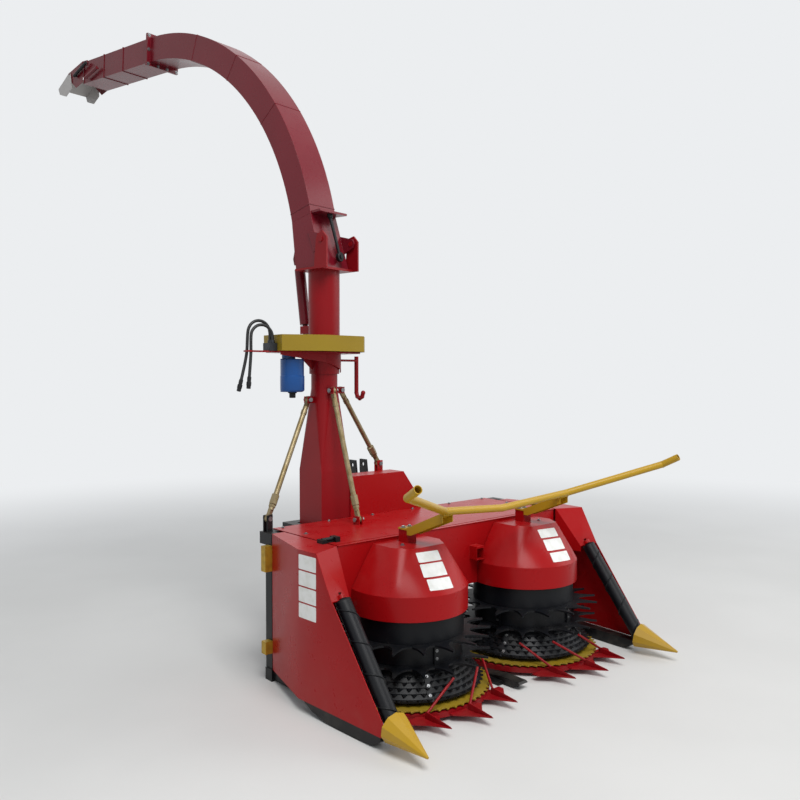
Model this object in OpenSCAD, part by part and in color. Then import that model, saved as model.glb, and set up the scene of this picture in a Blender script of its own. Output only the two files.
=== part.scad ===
// Two-drum forage harvester that stands on skids, with a slewing discharge spout.
// Z is up and the cutting drums face -Y. The origin is on the ground, on the centre plane,
// below the line of the two drum axes. Left is +X and right is -X, the machine's own sides.

/* [Cutting drums] */
// Distance of each drum axis from the centre plane
drum_x = 424; // [416:1:460]
// Radius over the points of the long feed tines
tine_r = 400; // [370:1:404]
// Number of long tines on each ring
tine_count = 18; // [12:1:24]
// Radius of the plain lower shell of a drum
shell_r = 264; // [250:1:268]
// Radius of the lower edge of the flared shell
flare_r = 352; // [330:1:360]
// Reach of the short teeth out of the flared shell
stub_reach = 17; // [10:1:20]
// Number of short teeth on each row
stub_count = 48; // [24:1:60]
// Rows of short teeth
stub_rows = 5; // [3:1:6]
// Radius of the fixed spindle that carries drum and knife disc
spindle_r = 30; // [24:1:36]
// Height of the underside of the drum above the ground
drum_base_z = 76; // [74:1:84]
// Height of the lower tine ring
low_ring_z = 200; // [190:1:215]
// Height of the upper tine ring
high_ring_z = 300; // [280:1:320]
// Plate thickness of the tine rings
ring_t = 9; // [6:1:12]
// Radius over the saw teeth of the knife disc
knife_r = 400; // [380:1:404]
// Number of saw teeth of the knife disc
knife_teeth = 60; // [40:1:72]
// Thickness of the knife disc
knife_t = 6; // [4:1:8]

/* [Drum covers] */
// Radius of the cover's skirt
cover_r = 292; // [286:1:300]
// Height of the lower edge of the skirt
skirt_z = 415; // [412:1:430]
// Height where the skirt meets the cone
shoulder_z = 527; // [500:1:540]
// Half width of the flat plate on top of the cover
cap_half = 156; // [140:1:170]
// Height of the flat plate on top of the cover
cap_z = 722; // [700:1:726]
// Thickness of the cover, deck and panel sheet
sheet = 4; // [3:1:5]
// Width of the square post on the cover
post_w = 60; // [50:1:70]
// Height of the square post on the cover
post_h = 61; // [50:1:80]

/* [Stalk dividers] */
// Radius of the pan below the knife disc
pan_r = 396; // [380:1:400]
// Thickness of the pan
pan_t = 24; // [16:1:24]
// Distance of the middle divider point before the drum axes
point_y = 560; // [530:1:570]
// Height of the divider points
point_z = 50; // [40:1:60]
// Distance from one divider point to the next
divider_pitch = 208; // [190:1:220]
// Radius of the guide rods
rod_r = 6; // [4:1:7]

/* [Frame and skids] */
// Height of the side skids, where the side panels stand
skid_h = 60; // [50:1:66]
// Width of the side skids
skid_w = 60; // [50:1:80]
// Side of the box section beams
beam = 60; // [54:1:64]
// Thickness of the cross plate below the pans
bed_t = 20; // [16:1:24]
// Half width of the centre skid
keel_half_w = 60; // [50:1:80]
// Distance of the lower hitch pins from the centre plane, to the inner shoulder
hitch_x = 480; // [470:1:500]
// Radius of the lower hitch pins
hitch_r = 14.3; // [11:0.1:18.3]
// Height of the lower hitch pins
hitch_z = 450; // [400:1:500]
// Height of the upper hitch hole
top_link_z = 985; // [960:1:1020]
// Radius of the upper hitch hole
top_link_r = 12.9; // [9.8:0.1:16.1]

/* [Side panels and deck] */
// Height of the deck's upper face
deck_z = 739; // [730:1:760]
// Half width of the deck between its side seams
deck_half_w = 785; // [770:1:800]
// Front edge of the deck
deck_front_y = 75; // [70:1:90]
// Rear edge of the deck
deck_rear_y = 634; // [634:1:636]
// Gap along the side seams of the deck
seam = 12; // [8:1:16]
// Rear corner of a side panel, distance from the centre plane
panel_rear_x = 866; // [856:1:880]
// Rear corner of a side panel, distance behind the drum axes
panel_rear_y = 510; // [480:1:520]
// Bend of a side panel, distance from the centre plane
panel_bend_x = 965; // [950:1:980]
// Bend of a side panel, distance behind the drum axes
panel_bend_y = 134; // [120:1:160]
// Front lower corner of a side panel, distance from the centre plane
panel_nose_x = 936; // [926:1:944]
// Front lower corner of a side panel, distance before the drum axes
panel_nose_y = 420; // [410:1:424]

/* [Divider tubes] */
// Radius of a divider tube
tube_r = 36; // [30:1:38]
// Upper end of a divider tube, distance from the centre plane
tube_top_x = 885; // [880:1:890]
// Upper end of a divider tube, distance before the drum axes
tube_top_y = 100; // [96:1:106]
// Upper end of a divider tube, height
tube_top_z = 540; // [530:1:546]
// Turns of the welded rod round a divider tube
tube_turns = 4; // [2:0.5:5]
// Rear ring of a nose cone, distance from the centre plane
cone_x = 881; // [876:1:886]
// Rear ring of a nose cone, distance before the drum axes
cone_y = 441; // [436:1:450]
// Rear ring of a nose cone, height
cone_z = 95; // [90:1:100]
// Radius of the rear ring of a nose cone
cone_r = 68; // [62:1:72]
// Point of a nose cone, distance from the centre plane
tip_x = 900; // [890:1:906]
// Point of a nose cone, distance before the drum axes
tip_y = 661; // [640:1:680]
// Point of a nose cone, height
tip_z = 56; // [50:1:60]

/* [Pusher bar] */
// Outer radius of the bar's pipe
bar_r = 18; // [15:1:22]
// Wall of the bar's pipe
bar_wall = 3; // [2:0.5:5]

/* [Chopper and tower] */
// Radius of the chopper housing
chopper_r = 405; // [395:1:410]
// Front face of the chopper housing
chopper_y = 638; // [638:1:640]
// Depth of the chopper housing
chopper_d = 212; // [200:1:220]
// Width of the tower's square foot
tower_w = 190; // [180:1:200]
// Height where the tower starts to narrow
taper_low_z = 1000; // [960:1:1040]
// Height where the tower is round
taper_high_z = 1450; // [1430:1:1470]
// Radius of the round part of the tower
pipe_r = 72.5; // [68:0.5:76]
// Wall of the tower
tower_wall = 4; // [3:0.5:5]
// Radius of the three stays
stay_r = 14; // [10:1:16]

/* [Slew drive] */
// Lower edge of the guard round the slew gear
guard_z = 1650; // [1645:1:1655]
// Height of the guard
guard_h = 85; // [80:1:90]
// Half depth of the guard
guard_half = 190; // [186:1:196]
// Length of the guard past the tower axis to the motor's side
guard_reach = 330; // [320:1:340]
// Radius of the slew gear
gear_r = 178; // [160:1:180]
// Number of teeth of the slew gear
gear_teeth = 48; // [36:1:60]
// Radius of the slew motor
motor_r = 44; // [40:1:48]
// Height of the slew motor's body
motor_h = 176; // [160:1:190]

/* [Spout] */
// Angle of the spout from straight back, to the right
slew_rest = 8; // [0:1:20]
// Outer radius of the turning tube
turn_r = 86; // [84:1:90]
// Upper end of the turning tube
turn_top_z = 2105; // [2090:1:2108]
// Width of the spout duct
duct_w = 189; // [180:1:200]
// Depth of the spout duct
duct_d = 157; // [150:1:165]
// Wall of the spout duct
duct_wall = 3; // [2:0.5:4]
// Outer radius of the spout's bend
bend_r = 1748; // [1700:1:1800]
// Height where the bend leaves the hinge box
bend_low_z = 2401; // [2390:1:2410]
// Angle of the start of the bend above its centre
bend_start = 12.3; // [12:0.1:13]
// Rise of the end section above level
end_rise = 4.5; // [3:0.5:7]
// Length of the end section
end_len = 900; // [800:10:1000]
// Width of the hinge box
box_w = 215; // [209:1:221]
// Height of the lift hinge
lift_z = 2245; // [2235:1:2255]
// Distance of the lift hinge before the tower axis
lift_s = 108; // [106:1:112]
// Radius of the lift hinge pin
lift_pin_r = 14; // [10:1:16]
// Radius of the lift cylinder's barrel
barrel_r = 30; // [26:1:34]
// Radius of the lift cylinder's rod
rod_lift_r = 14; // [11:1:17]

/* [Deflector flaps] */
// Length of the first flap
flap_one_len = 200; // [180:1:220]
// Length of the second flap
flap_two_len = 190; // [170:1:210]
// Droop of the first flap against the end section
flap_one_tilt = 14; // [8:1:20]
// Droop of the second flap against the first
flap_two_tilt = 16; // [8:1:20]
// Radius of the flap pins
flap_pin_r = 6; // [5:0.5:7]

/* [Feed rollers and drive] */
// Distance of each feed roller from the centre plane
roller_x = 118; // [116:1:124]
// Distance of the feed rollers behind the drum axes
roller_y = 500; // [490:1:510]
// Radius over the ribs of a feed roller
roller_r = 105; // [90:1:108]
// Number of ribs of a feed roller
roller_ribs = 8; // [6:1:12]
// Radius of the power shaft
pto_r = 17.5; // [17:0.5:22]
// Length of the power shaft outside the gearbox
pto_len = 90; // [70:1:110]

/* [Hidden] */
$fn = 48;
fit = 0.1;
run_gap = 5;

// Places and lengths worked out from the driving dimensions
wall_z = deck_z - sheet;
rear_beam_y = panel_rear_y;
post_x = panel_rear_x - 24;
chopper_x = -478 + chopper_r;
chopper_z = 460;
tower_x = -478 + tower_w / 2;
tower_y = chopper_y + chopper_d / 2;
bracket_t = 8;
pan_z = bed_t;
knife_z = pan_z + pan_t + 8;
teeth_low_z = drum_base_z + 8;
ring_teeth_root = 300;
drum_top_z = skirt_z - 8;
elbow_end = 90 - end_rise;
bend_s = 3.1 + bend_r * cos(bend_start);
bend_z = bend_low_z - bend_r * sin(bend_start);
end_s = bend_s - bend_r * cos(elbow_end);
end_z = bend_z + bend_r * sin(elbow_end);

function flat(a, b) = norm([b[0] - a[0], b[1] - a[1]]);
function heading(a, b) = atan2(b[1] - a[1], b[0] - a[0]);
function between(a, b, t) = a + (b - a) * t;
function tooth_ring(n, root, tip, lean) = [
    for (i = [0 : n - 1])
        for (c = [[0, root], [0.30 + lean, tip], [0.42 + lean, tip], [0.62, root]])
            c[1] * [cos(360 * (i + c[0]) / n), sin(360 * (i + c[0]) / n)]
];

// Plate outline with hollow sides that meet in slightly raked points
function scallop_ring(n, root, tip) = [
    for (i = [0 : n - 1])
        for (c = [[0, 1], [0.05, 1], [0.1, 0.55], [0.2, 0.2], [0.36, 0], [0.6, 0], [0.78, 0.16], [0.92, 0.52]])
            (root + c[1] * (tip - root)) * [cos(360 * (i + c[0]) / n), sin(360 * (i + c[0]) / n)]
];

// Puts local Z along the line from a to b, with local Y level
module along(a, b) {
    translate(a)
        rotate([0, atan2(flat(a, b), b[2] - a[2]), heading(a, b)])
            children();
}

// Mirrors to the machine's right side when side is -1
module on_side(side) {
    mirror([side < 0 ? 1 : 0, 0, 0])
        children();
}

// Lays a (y, z) outline upright and gives it a thickness along +X
module upright(t) {
    rotate([90, 0, 90])
        linear_extrude(t)
            children();
}

module block(x0, x1, y0, y1, z0, z1) {
    translate([x0, y0, z0])
        cube([x1 - x0, y1 - y0, z1 - z0]);
}

module rod(a, b, r) {
    along(a, b)
        cylinder(r = r, h = norm(b - a));
}

// Frame of the slewing spout: local Y leads outwards, local Z is up
module spout_place() {
    translate([tower_x, tower_y, 0])
        rotate([0, 0, slew_rest])
            children();
}

// Frame at the outer end of the end section: local Y goes on outwards, local Z is the duct's top side
module end_place() {
    spout_place()
        translate([0, end_s, end_z])
            rotate([end_rise, 0, 0])
                translate([0, end_len, 0])
                    children();
}

// Base and frame

module base_frame() {
    color("#1b1c1e") {
        for (side = [1, -1])
            on_side(side)
                skid();
        block(-keel_half_w, keel_half_w, -260, rear_beam_y, 0, bed_t);
        block(-panel_rear_x + 20, panel_rear_x - 20, -90, 90, bed_t - 16, bed_t);
        block(-post_x - beam / 2, post_x + beam / 2, rear_beam_y, rear_beam_y + beam, 0, beam);
        for (x = [-450, 450])
            block(x - beam / 2, x + beam / 2, rear_beam_y, 930, 0, beam - 10);
        block(-450, 450, 700, 780, 0, beam - 10);
        keel_nose();
    }
}

module skid() {
    rail_x = drum_x + pan_r + 4;
    outer_rear = panel_bend_x - sheet - 2;
    outer_nose = panel_nose_x - sheet - 2;
    intersection() {
        linear_extrude(skid_h)
            polygon([
                [outer_rear, 120], [outer_nose, -panel_nose_y + 8],
                [outer_nose - skid_w, -panel_nose_y + 8], [outer_rear - skid_w, 120]
            ]);
        translate([panel_nose_x - skid_w - 40, 0, 0])
            upright(200)
                polygon([
                    [110, skid_h], [40, 26], [-60, 4], [-130, 0], [-300, 0], [-370, 12],
                    [-panel_nose_y + 10, 40], [-panel_nose_y + 10, skid_h]
                ]);
    }
    block(panel_rear_x - 110, panel_bend_x - 40, -90, 60, 4, bed_t);
    block(rail_x, rail_x + 34, 60 - fit, rear_beam_y + 10, 6, 46);
    block(rail_x, panel_bend_x - 60, 50, 75, 6, 46);
}

module keel_nose() {
    translate([-keel_half_w / 2, 0, 0])
        upright(keel_half_w)
            polygon([[-250, 0], [-330, 6], [-372, 30], [-360, 38], [-250, bed_t + 20], [-120, bed_t]]);
}

module rear_frame() {
    color("#1b1c1e")
        difference() {
            union() {
                for (side = [1, -1])
                    on_side(side)
                        frame_side();
                block(-post_x - 24, post_x + 24, 568, 568 + beam, wall_z - beam, wall_z);
                block(-480, 480, 870, 930, 640, 700);
                for (x = [-46, 34])
                    translate([x, 0, 0])
                        upright(12)
                            polygon([[870, 700], [930, 700], [965, 950], [965, 1015], [905, 1015], [895, 950]]);
                stay_fork(right_stay, 0, -22, 22, wall_z - 5 - right_stay[0][2], 18);
            }
            translate([-60, 935, top_link_z])
                rotate([0, 90, 0])
                    cylinder(r = top_link_r, h = 120);
        }
}

module frame_side() {
    block(post_x - 24, post_x + 24, panel_rear_y + 6, 572, beam, wall_z);
    block(420, 480, 870, 930, beam - 10, 700);
    block(484, 540, 568, 930, 640, 700);
    block(470, 490, 870, 930, 640, 700);
    translate([hitch_x, 900, hitch_z])
        rotate([0, 90, 0])
            cylinder(r = hitch_r, h = 90);
    translate([hitch_x, 900, hitch_z])
        rotate([0, 90, 0])
            cylinder(r = hitch_r + 14, h = 12);
}

module panel_clips() {
    color("#a8893c")
        for (side = [1, -1])
            on_side(side)
                for (z = [[142, 205], [552, 679]]) {
                    block(panel_rear_x - 14, panel_rear_x + 40, panel_rear_y + fit, panel_rear_y + 6 - fit, z[0], z[1]);
                    block(panel_rear_x + fit, panel_rear_x + 40, panel_rear_y + 5, 550, z[0], z[1]);
                }
}

// Side panels with ledge, hood over the tube's end and its bearing

module side_panel() {
    slope = (panel_bend_x - panel_nose_x) / (panel_bend_y + panel_nose_y);
    edge_x = panel_bend_x - slope * panel_bend_y;
    inner_x = deck_half_w + seam;
    fold_y = -tube_top_y - 8;
    fold_z = tube_top_z + 8;
    top = [tube_top_x, -tube_top_y, tube_top_z];
    low = [cone_x, -cone_y, cone_z];
    color("#c4161c")
        difference() {
            union() {
                intersection() {
                    linear_extrude(deck_z)
                        polygon([
                            [panel_rear_x, panel_rear_y], [panel_bend_x, panel_bend_y],
                            [panel_nose_x - slope * 30, -panel_nose_y - 30],
                            [panel_nose_x - slope * 30 - sheet, -panel_nose_y - 30],
                            [panel_bend_x - sheet, panel_bend_y], [panel_rear_x - sheet, panel_rear_y]
                        ]);
                    translate([panel_rear_x - 20, 0, 0])
                        upright(150)
                            polygon([
                                [panel_rear_y, skid_h], [panel_rear_y, deck_z], [0, deck_z], [fold_y, fold_z],
                                [-panel_nose_y - 12, cone_z + 23], [-panel_nose_y, skid_h]
                            ]);
                }
                translate([0, 0, wall_z])
                    linear_extrude(sheet)
                        polygon([
                            [panel_rear_x, panel_rear_y], [panel_bend_x, panel_bend_y], [edge_x, 0],
                            [inner_x, deck_front_y - 8], [inner_x, panel_rear_y]
                        ]);
                hull() {
                    block(inner_x, inner_x + 1, deck_front_y - 8, deck_front_y - 7, wall_z, deck_z);
                    block(edge_x - 1, edge_x, 0, 1, wall_z, deck_z);
                    block(tube_top_x - 49, tube_top_x - 48, fold_y + 26, fold_y + 27, fold_z - 14, fold_z - 14 + sheet);
                    block(edge_x + slope * fold_y - 5, edge_x + slope * fold_y - 2, fold_y, fold_y + 1, fold_z - sheet, fold_z);
                }
                hull() {
                    block(inner_x, inner_x + sheet, deck_front_y - 8, deck_front_y - 4, 505, wall_z + 1);
                    block(tube_top_x - 49, tube_top_x - 45, fold_y + 26, fold_y + 30, 505, fold_z - 12);
                }
                along(top, low)
                    translate([0, 0, -26])
                        cylinder(r = 18, h = 18);
                block(tube_top_x, panel_bend_x - 14, -tube_top_y + 18, -tube_top_y + 24, tube_top_z - 4, tube_top_z + 26);
            }
            along(top, low)
                translate([0, 0, -40])
                    cylinder(r = 10 + fit, h = 50);
        }
}

module side_panel_left() {
    side_panel();
}

module side_panel_right() {
    on_side(-1)
        side_panel();
}

module tip_cone() {
    top = [tube_top_x, -tube_top_y, tube_top_z];
    low = [cone_x, -cone_y, cone_z];
    tip = [tip_x, -tip_y, tip_z];
    inner = panel_nose_x - sheet - fit;
    slope = (panel_bend_x - panel_nose_x) / (panel_bend_y + panel_nose_y);
    color("#e0b818")
        difference() {
            union() {
                along(low, tip)
                    cylinder(r1 = cone_r, r2 = 5, h = norm(tip - low), $fn = 10);
                translate([0, 0, skid_h])
                    linear_extrude(50)
                        polygon([
                            [inner - 2, -panel_nose_y - 60], [inner, -panel_nose_y], [inner + slope * 60, -panel_nose_y + 60],
                            [inner + slope * 60 - 5, -panel_nose_y + 60], [inner - 5, -panel_nose_y],
                            [inner - 7, -panel_nose_y - 60]
                        ]);
            }
            along(top, low)
                translate([0, 0, norm(low - top) - 150])
                    cylinder(r = tube_r + 10, h = 172);
            along(top, low)
                translate([0, 0, norm(low - top)])
                    cylinder(r = 14 + fit, h = 50);
        }
}

module tip_cone_left() {
    tip_cone();
}

module tip_cone_right() {
    on_side(-1)
        tip_cone();
}

module divider_tube() {
    top = [tube_top_x, -tube_top_y, tube_top_z];
    low = [cone_x, -cone_y, cone_z];
    len = norm(low - top) + 14;
    color("#16181a")
        along(top, low) {
            linear_extrude(len, twist = -360 * tube_turns, slices = 12 * tube_turns)
                union() {
                    circle(r = tube_r, $fn = 24);
                    translate([tube_r + 1, 0])
                        circle(r = 4, $fn = 6);
                }
            translate([0, 0, -26])
                cylinder(r = 10, h = 26);
            translate([0, 0, len])
                cylinder(r = 14, h = 26);
        }
}

module divider_tube_left() {
    divider_tube();
}

module divider_tube_right() {
    on_side(-1)
        divider_tube();
}

// Deck, front wall and hood

module top_cover() {
    color("#c4161c") {
        stay_fork(front_stay, 0, -22, 22, deck_z - 2 - front_stay[0][2], 18);
        block(-deck_half_w, deck_half_w, deck_front_y + 27, deck_rear_y, wall_z, deck_z);
    }
}

// Front wall with its flange, the lip below the deck's front edge and the catch box
module front_wall() {
    color("#b3141a") {
        difference() {
            union() {
                block(-deck_half_w, deck_half_w, deck_front_y, deck_front_y + sheet, skirt_z, deck_z);
                block(-deck_half_w, deck_half_w, deck_front_y - 4, deck_front_y + 18, wall_z, deck_z);
                block(-deck_half_w, deck_half_w, deck_front_y + 2, deck_front_y + 45, wall_z - 12, wall_z);
            }
            block(-900, -drum_x - cover_r, 0, 200, 0, 470);
            block(drum_x + cover_r, 900, 0, 200, 0, 470);
        }
        difference() {
            block(80, 138, 22, deck_front_y + 1, 548, 620);
            block(84, 134, 21, deck_front_y, 552, 608);
        }
    }
}

// Toggle latches over the seams of the deck
module deck_latches() {
    color("#17181a")
        for (side = [1, -1])
            on_side(side) {
                block(deck_half_w - 62, deck_half_w + seam + 26, 150, 176, deck_z, deck_z + 7);
                rod([deck_half_w - 44, 163, deck_z + 14], [deck_half_w + seam + 14, 163, deck_z + 14], 10);
                block(deck_half_w - 62, deck_half_w - 36, 138, 188, deck_z, deck_z + 24);
                block(deck_half_w + seam + 2, deck_half_w + seam + 26, 140, 186, deck_z, deck_z + 18);
            }
}

module rear_hood() {
    left = -478 + tower_w + fit;
    color("#b3141a")
        difference() {
            union() {
                intersection() {
                    translate([0, deck_rear_y + 220, 0])
                        rotate([90, 0, 0])
                            linear_extrude(223)
                                polygon([[left, deck_z], [left, 963], [100, 963], [190, 845], [240, deck_z]]);
                    translate([-400, 0, 0])
                        upright(800)
                            polygon([
                                [deck_rear_y - 3, deck_z], [deck_rear_y - 3, 963], [deck_rear_y + 120, 963],
                                [deck_rear_y + 216, 880], [deck_rear_y + 216, deck_z]
                            ]);
                }
                stay_fork(left_stay, 0, -22, 22, 900 - left_stay[0][2], 18);
            }
            intersection() {
                translate([0, deck_rear_y + 230, 0])
                    rotate([90, 0, 0])
                        linear_extrude(230)
                            polygon([[left - 10, deck_z - 1], [left - 10, 960], [98, 960], [187, 844], [237, deck_z - 1]]);
                translate([-400, 0, 0])
                    upright(800)
                        polygon([
                            [deck_rear_y, deck_z - 1], [deck_rear_y, 960], [deck_rear_y + 119, 960],
                            [deck_rear_y + 230, 864], [deck_rear_y + 230, deck_z - 1]
                        ]);
            }
        }
}

module chopper_housing() {
    color("#b3141a") {
        difference() {
            translate([chopper_x, chopper_y + chopper_d, chopper_z])
                rotate([90, 0, 0])
                    cylinder(r = chopper_r, h = chopper_d, $fn = 96);
            block(-500, -478 + tower_w + fit, chopper_y - 1, chopper_y + chopper_d + 1, deck_z, 1000);
        }
        block(-478, -478 + tower_w, chopper_y, chopper_y + chopper_d, chopper_z, deck_z);
        block(chopper_x - 130, chopper_x + 130, 700, 780, beam - 10, 130);
    }
}

module gearbox() {
    color("#3a3d40")
        difference() {
            union() {
                block(-150, 50, chopper_y + chopper_d, 1000, 350, 590);
                translate([-50, 1000, hitch_z])
                    rotate([-90, 0, 0])
                        cylinder(r = 55, h = 14);
            }
            translate([-50, 960, hitch_z])
                rotate([-90, 0, 0])
                    cylinder(r = pto_r + 6 + fit, h = 60);
        }
}

module input_shaft() {
    color("#8d9093")
        translate([-50, 962, hitch_z])
            rotate([-90, 0, 0]) {
                cylinder(r = pto_r + 6, h = 53);
                translate([0, 0, 52])
                    cylinder(r = pto_r, h = 1 + pto_len);
            }
}

// Intake with its two upright feed rollers

module intake_channel() {
    half = roller_x + roller_r + 8;
    floor_z = beam;
    roof_z = 410;
    color("#232527")
        difference() {
            union() {
                block(-half - sheet, half + sheet, 376, chopper_y, floor_z, floor_z + 6);
                block(-half - sheet, half + sheet, 376, chopper_y, roof_z, roof_z + 6);
                block(-half - sheet, -half, 376, chopper_y, floor_z, roof_z + 6);
                block(half, half + sheet, 376, chopper_y, floor_z, roof_z + 6);
            }
            for (x = [-roller_x, roller_x])
                translate([x, roller_y, 0])
                    cylinder(r = 15 + fit, h = 600);
        }
}

module feed_roller() {
    color("#4a4d50")
        translate([roller_x, roller_y, 0]) {
            translate([0, 0, beam + 6 + run_gap])
                linear_extrude(404 - beam - 2 * run_gap - 6)
                    polygon(tooth_ring(roller_ribs, roller_r - 22, roller_r, 0));
            translate([0, 0, beam])
                cylinder(r = 15, h = 356);
        }
}

module feed_roller_left() {
    feed_roller();
}

module feed_roller_right() {
    on_side(-1)
        feed_roller();
}

// Cutting drums: pan, knife disc, tined drum and fixed cover

module cutter_pan() {
    color("#a8141a")
        translate([drum_x, 0, 0]) {
            translate([0, 0, pan_z])
                cylinder(r = pan_r, h = pan_t, $fn = 96);
            translate([0, 0, pan_z])
                cylinder(r = spindle_r, h = cap_z - sheet - pan_z);
            for (i = [0 : 2])
                stalk_divider(i);
        }
}

// Upper ends of the guide rods, from the drum axis: towards the centre plane first
guide_tops = [[-284, -221, 160], [-148, -325, 164], [34, -352, 166]];

// A divider points straight ahead: a flat plate with hollow sides, a ridge and a guide rod
module stalk_divider(i) {
    x = (i - 1) * divider_pitch;
    foot_y = -sqrt(pow(pan_r + 24, 2) - x * x);
    tip_y = i == 1 ? -point_y : -point_y + 42;
    plate_z = pan_z + 8;
    hull() {
        translate([x - 1, tip_y, point_z - 8])
            cube([2, 4, 3]);
        translate([x - 34, foot_y - 44, plate_z])
            cube([68, 4, 6]);
    }
    hull() {
        translate([x - 34, foot_y - 44, plate_z])
            cube([68, 4, 6]);
        translate([x - 92, foot_y + 14, plate_z])
            cube([184, 30, 6]);
    }
    hull() {
        translate([x - 3, foot_y - 8, plate_z])
            cube([6, 16, 36]);
        translate([x - 1.5, tip_y + 6, point_z - 6])
            cube([3, 4, 4]);
    }
    rod([x, foot_y, plate_z + 30], guide_tops[i], rod_r);
}

module cutter_pan_left() {
    cutter_pan();
}

module cutter_pan_right() {
    on_side(-1)
        cutter_pan();
}

module knife_disc() {
    color("#d8ab1c")
        translate([drum_x, 0, 0])
            difference() {
                union() {
                    translate([0, 0, knife_z])
                        linear_extrude(knife_t)
                            polygon(tooth_ring(knife_teeth, knife_r - 14, knife_r, 0.1));
                    translate([0, 0, knife_z - 2])
                        cylinder(r = 60, h = drum_base_z - knife_z - 3);
                }
                cylinder(r = spindle_r + fit, h = 200);
            }
}

module knife_disc_left() {
    knife_disc();
}

module knife_disc_right() {
    on_side(-1)
        knife_disc();
}

// Outline of the flared lower shell: radius at a height
function flare_at(z) = flare_r - (flare_r - shell_r) * (z - drum_base_z - 10) / (low_ring_z - 8 - drum_base_z - 10);

module drum() {
    wall = 6;
    knee_z = low_ring_z - 8;
    color("#17191b")
        translate([drum_x, 0, 0]) {
            rotate_extrude($fn = 96)
                polygon([
                    [spindle_r + fit, drum_base_z], [flare_r, drum_base_z], [flare_r, drum_base_z + 10],
                    [shell_r, knee_z], [shell_r, high_ring_z], [shell_r + 8, high_ring_z],
                    [shell_r + 8, drum_top_z], [spindle_r + fit, drum_top_z],
                    [spindle_r + fit, drum_top_z - wall], [shell_r + 2, drum_top_z - wall],
                    [shell_r + 2, high_ring_z + wall], [shell_r - wall, high_ring_z + wall],
                    [shell_r - wall, knee_z - 2], [flare_r - 2 * wall, drum_base_z + wall],
                    [spindle_r + 12, drum_base_z + wall], [spindle_r + 12, drum_base_z + 60],
                    [spindle_r + fit, drum_base_z + 60]
                ]);
            for (z = [low_ring_z, high_ring_z])
                translate([0, 0, z])
                    difference() {
                        linear_extrude(ring_t)
                            polygon(scallop_ring(tine_count, ring_teeth_root, tine_r));
                        translate([0, 0, -1])
                            cylinder(r = shell_r - 3, h = ring_t + 2, $fn = 96);
                    }
            for (row = [0 : stub_rows - 1]) {
                z = teeth_low_z + (knee_z - teeth_low_z - 8) * row / stub_rows;
                translate([0, 0, z])
                    rotate([0, 0, 3.75 * (row % 2)])
                        difference() {
                            linear_extrude(6)
                                polygon(tooth_ring(stub_count, flare_at(z) - 2, flare_at(z + 6) + stub_reach, 0));
                            translate([0, 0, -1])
                                cylinder(r = flare_at(z) - 9, h = 8, $fn = 96);
                        }
            }
            for (a = [12 : 90 : 282]) {
                rotate([0, 0, a])
                    translate([shell_r - 4, -13, low_ring_z + ring_t - 1])
                        cube([14, 26, high_ring_z - low_ring_z - ring_t + 2]);
                rotate([0, 0, a + 12])
                    translate([0, 13, 0])
                        rotate([90, 0, 0])
                            linear_extrude(26)
                                polygon([
                                    [flare_r - 9, drum_base_z + 4], [flare_r + 7, drum_base_z + 4],
                                    [shell_r + 11, knee_z + 2], [shell_r - 5, knee_z + 2]
                                ]);
            }
        }
}

module drum_left() {
    drum();
}

module drum_right() {
    on_side(-1)
        drum();
}

// Folded cover: flat plate on top, flat cheeks beside it and a round skirt
module drum_cover() {
    color("#c4161c")
        union() {
            difference() {
                union() {
                    cover_form(0);
                    translate([drum_x, 0, skirt_z])
                        cylinder(r = cover_r, h = shoulder_z - skirt_z, $fn = 96);
                }
                cover_form(sheet);
                translate([drum_x, 0, skirt_z - 1])
                    cylinder(r = cover_r - sheet, h = shoulder_z - skirt_z + 1.1, $fn = 96);
                block(0, 900, deck_front_y - 4 - fit, 600, 0, 900);
            }
            block(drum_x - post_w / 2, drum_x + post_w / 2, -post_w / 2, post_w / 2, cap_z, cap_z + post_h);
        }
}

module cover_form(inset) {
    hull() {
        translate([drum_x, 0, shoulder_z - 1])
            cylinder(r = cover_r - inset, h = 1, $fn = 96);
        translate([drum_x, 0, cap_z - inset - 1])
            linear_extrude(1)
                polygon([
                    [cap_half - inset, 90], [cap_half - inset, -60], [100 - inset, -150 + inset],
                    [-100 + inset, -150 + inset], [-cap_half + inset, -60], [-cap_half + inset, 90]
                ]);
    }
}

module drum_cover_left() {
    drum_cover();
}

module drum_cover_right() {
    on_side(-1)
        drum_cover();
}

module pusher_bar() {
    // Columns: distance from the centre plane, distance behind the drum axes, height
    route = [[0, -226, 866], [446, -279, 905], [910, -556, 1044], [931, -638, 1088]];
    top_z = cap_z + post_h;
    color("#e0b818")
        difference() {
            union() {
                for (side = [1, -1])
                    on_side(side) {
                        rod(between(route[0], route[1], -0.01), route[1], bar_r);
                        for (i = [1, 2])
                            rod(route[i], route[i + 1], bar_r);
                        for (i = [1, 2])
                            translate(route[i])
                                sphere(r = bar_r + 0.8);
                        block(drum_x - 34, drum_x + 34, -32, 30, top_z, top_z + 8);
                        hull() {
                            block(drum_x - 34, drum_x + 34, -33, -25, top_z, top_z + 8);
                            block(drum_x - 30, drum_x + 30, -284, -266, top_z + 102, top_z + 112);
                        }
                    }
            }
            for (side = [1, -1])
                on_side(side)
                    rod(between(route[2], route[3], 0.4), between(route[2], route[3], 1.1), bar_r - bar_wall);
        }
}

// Tower and its stays

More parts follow.
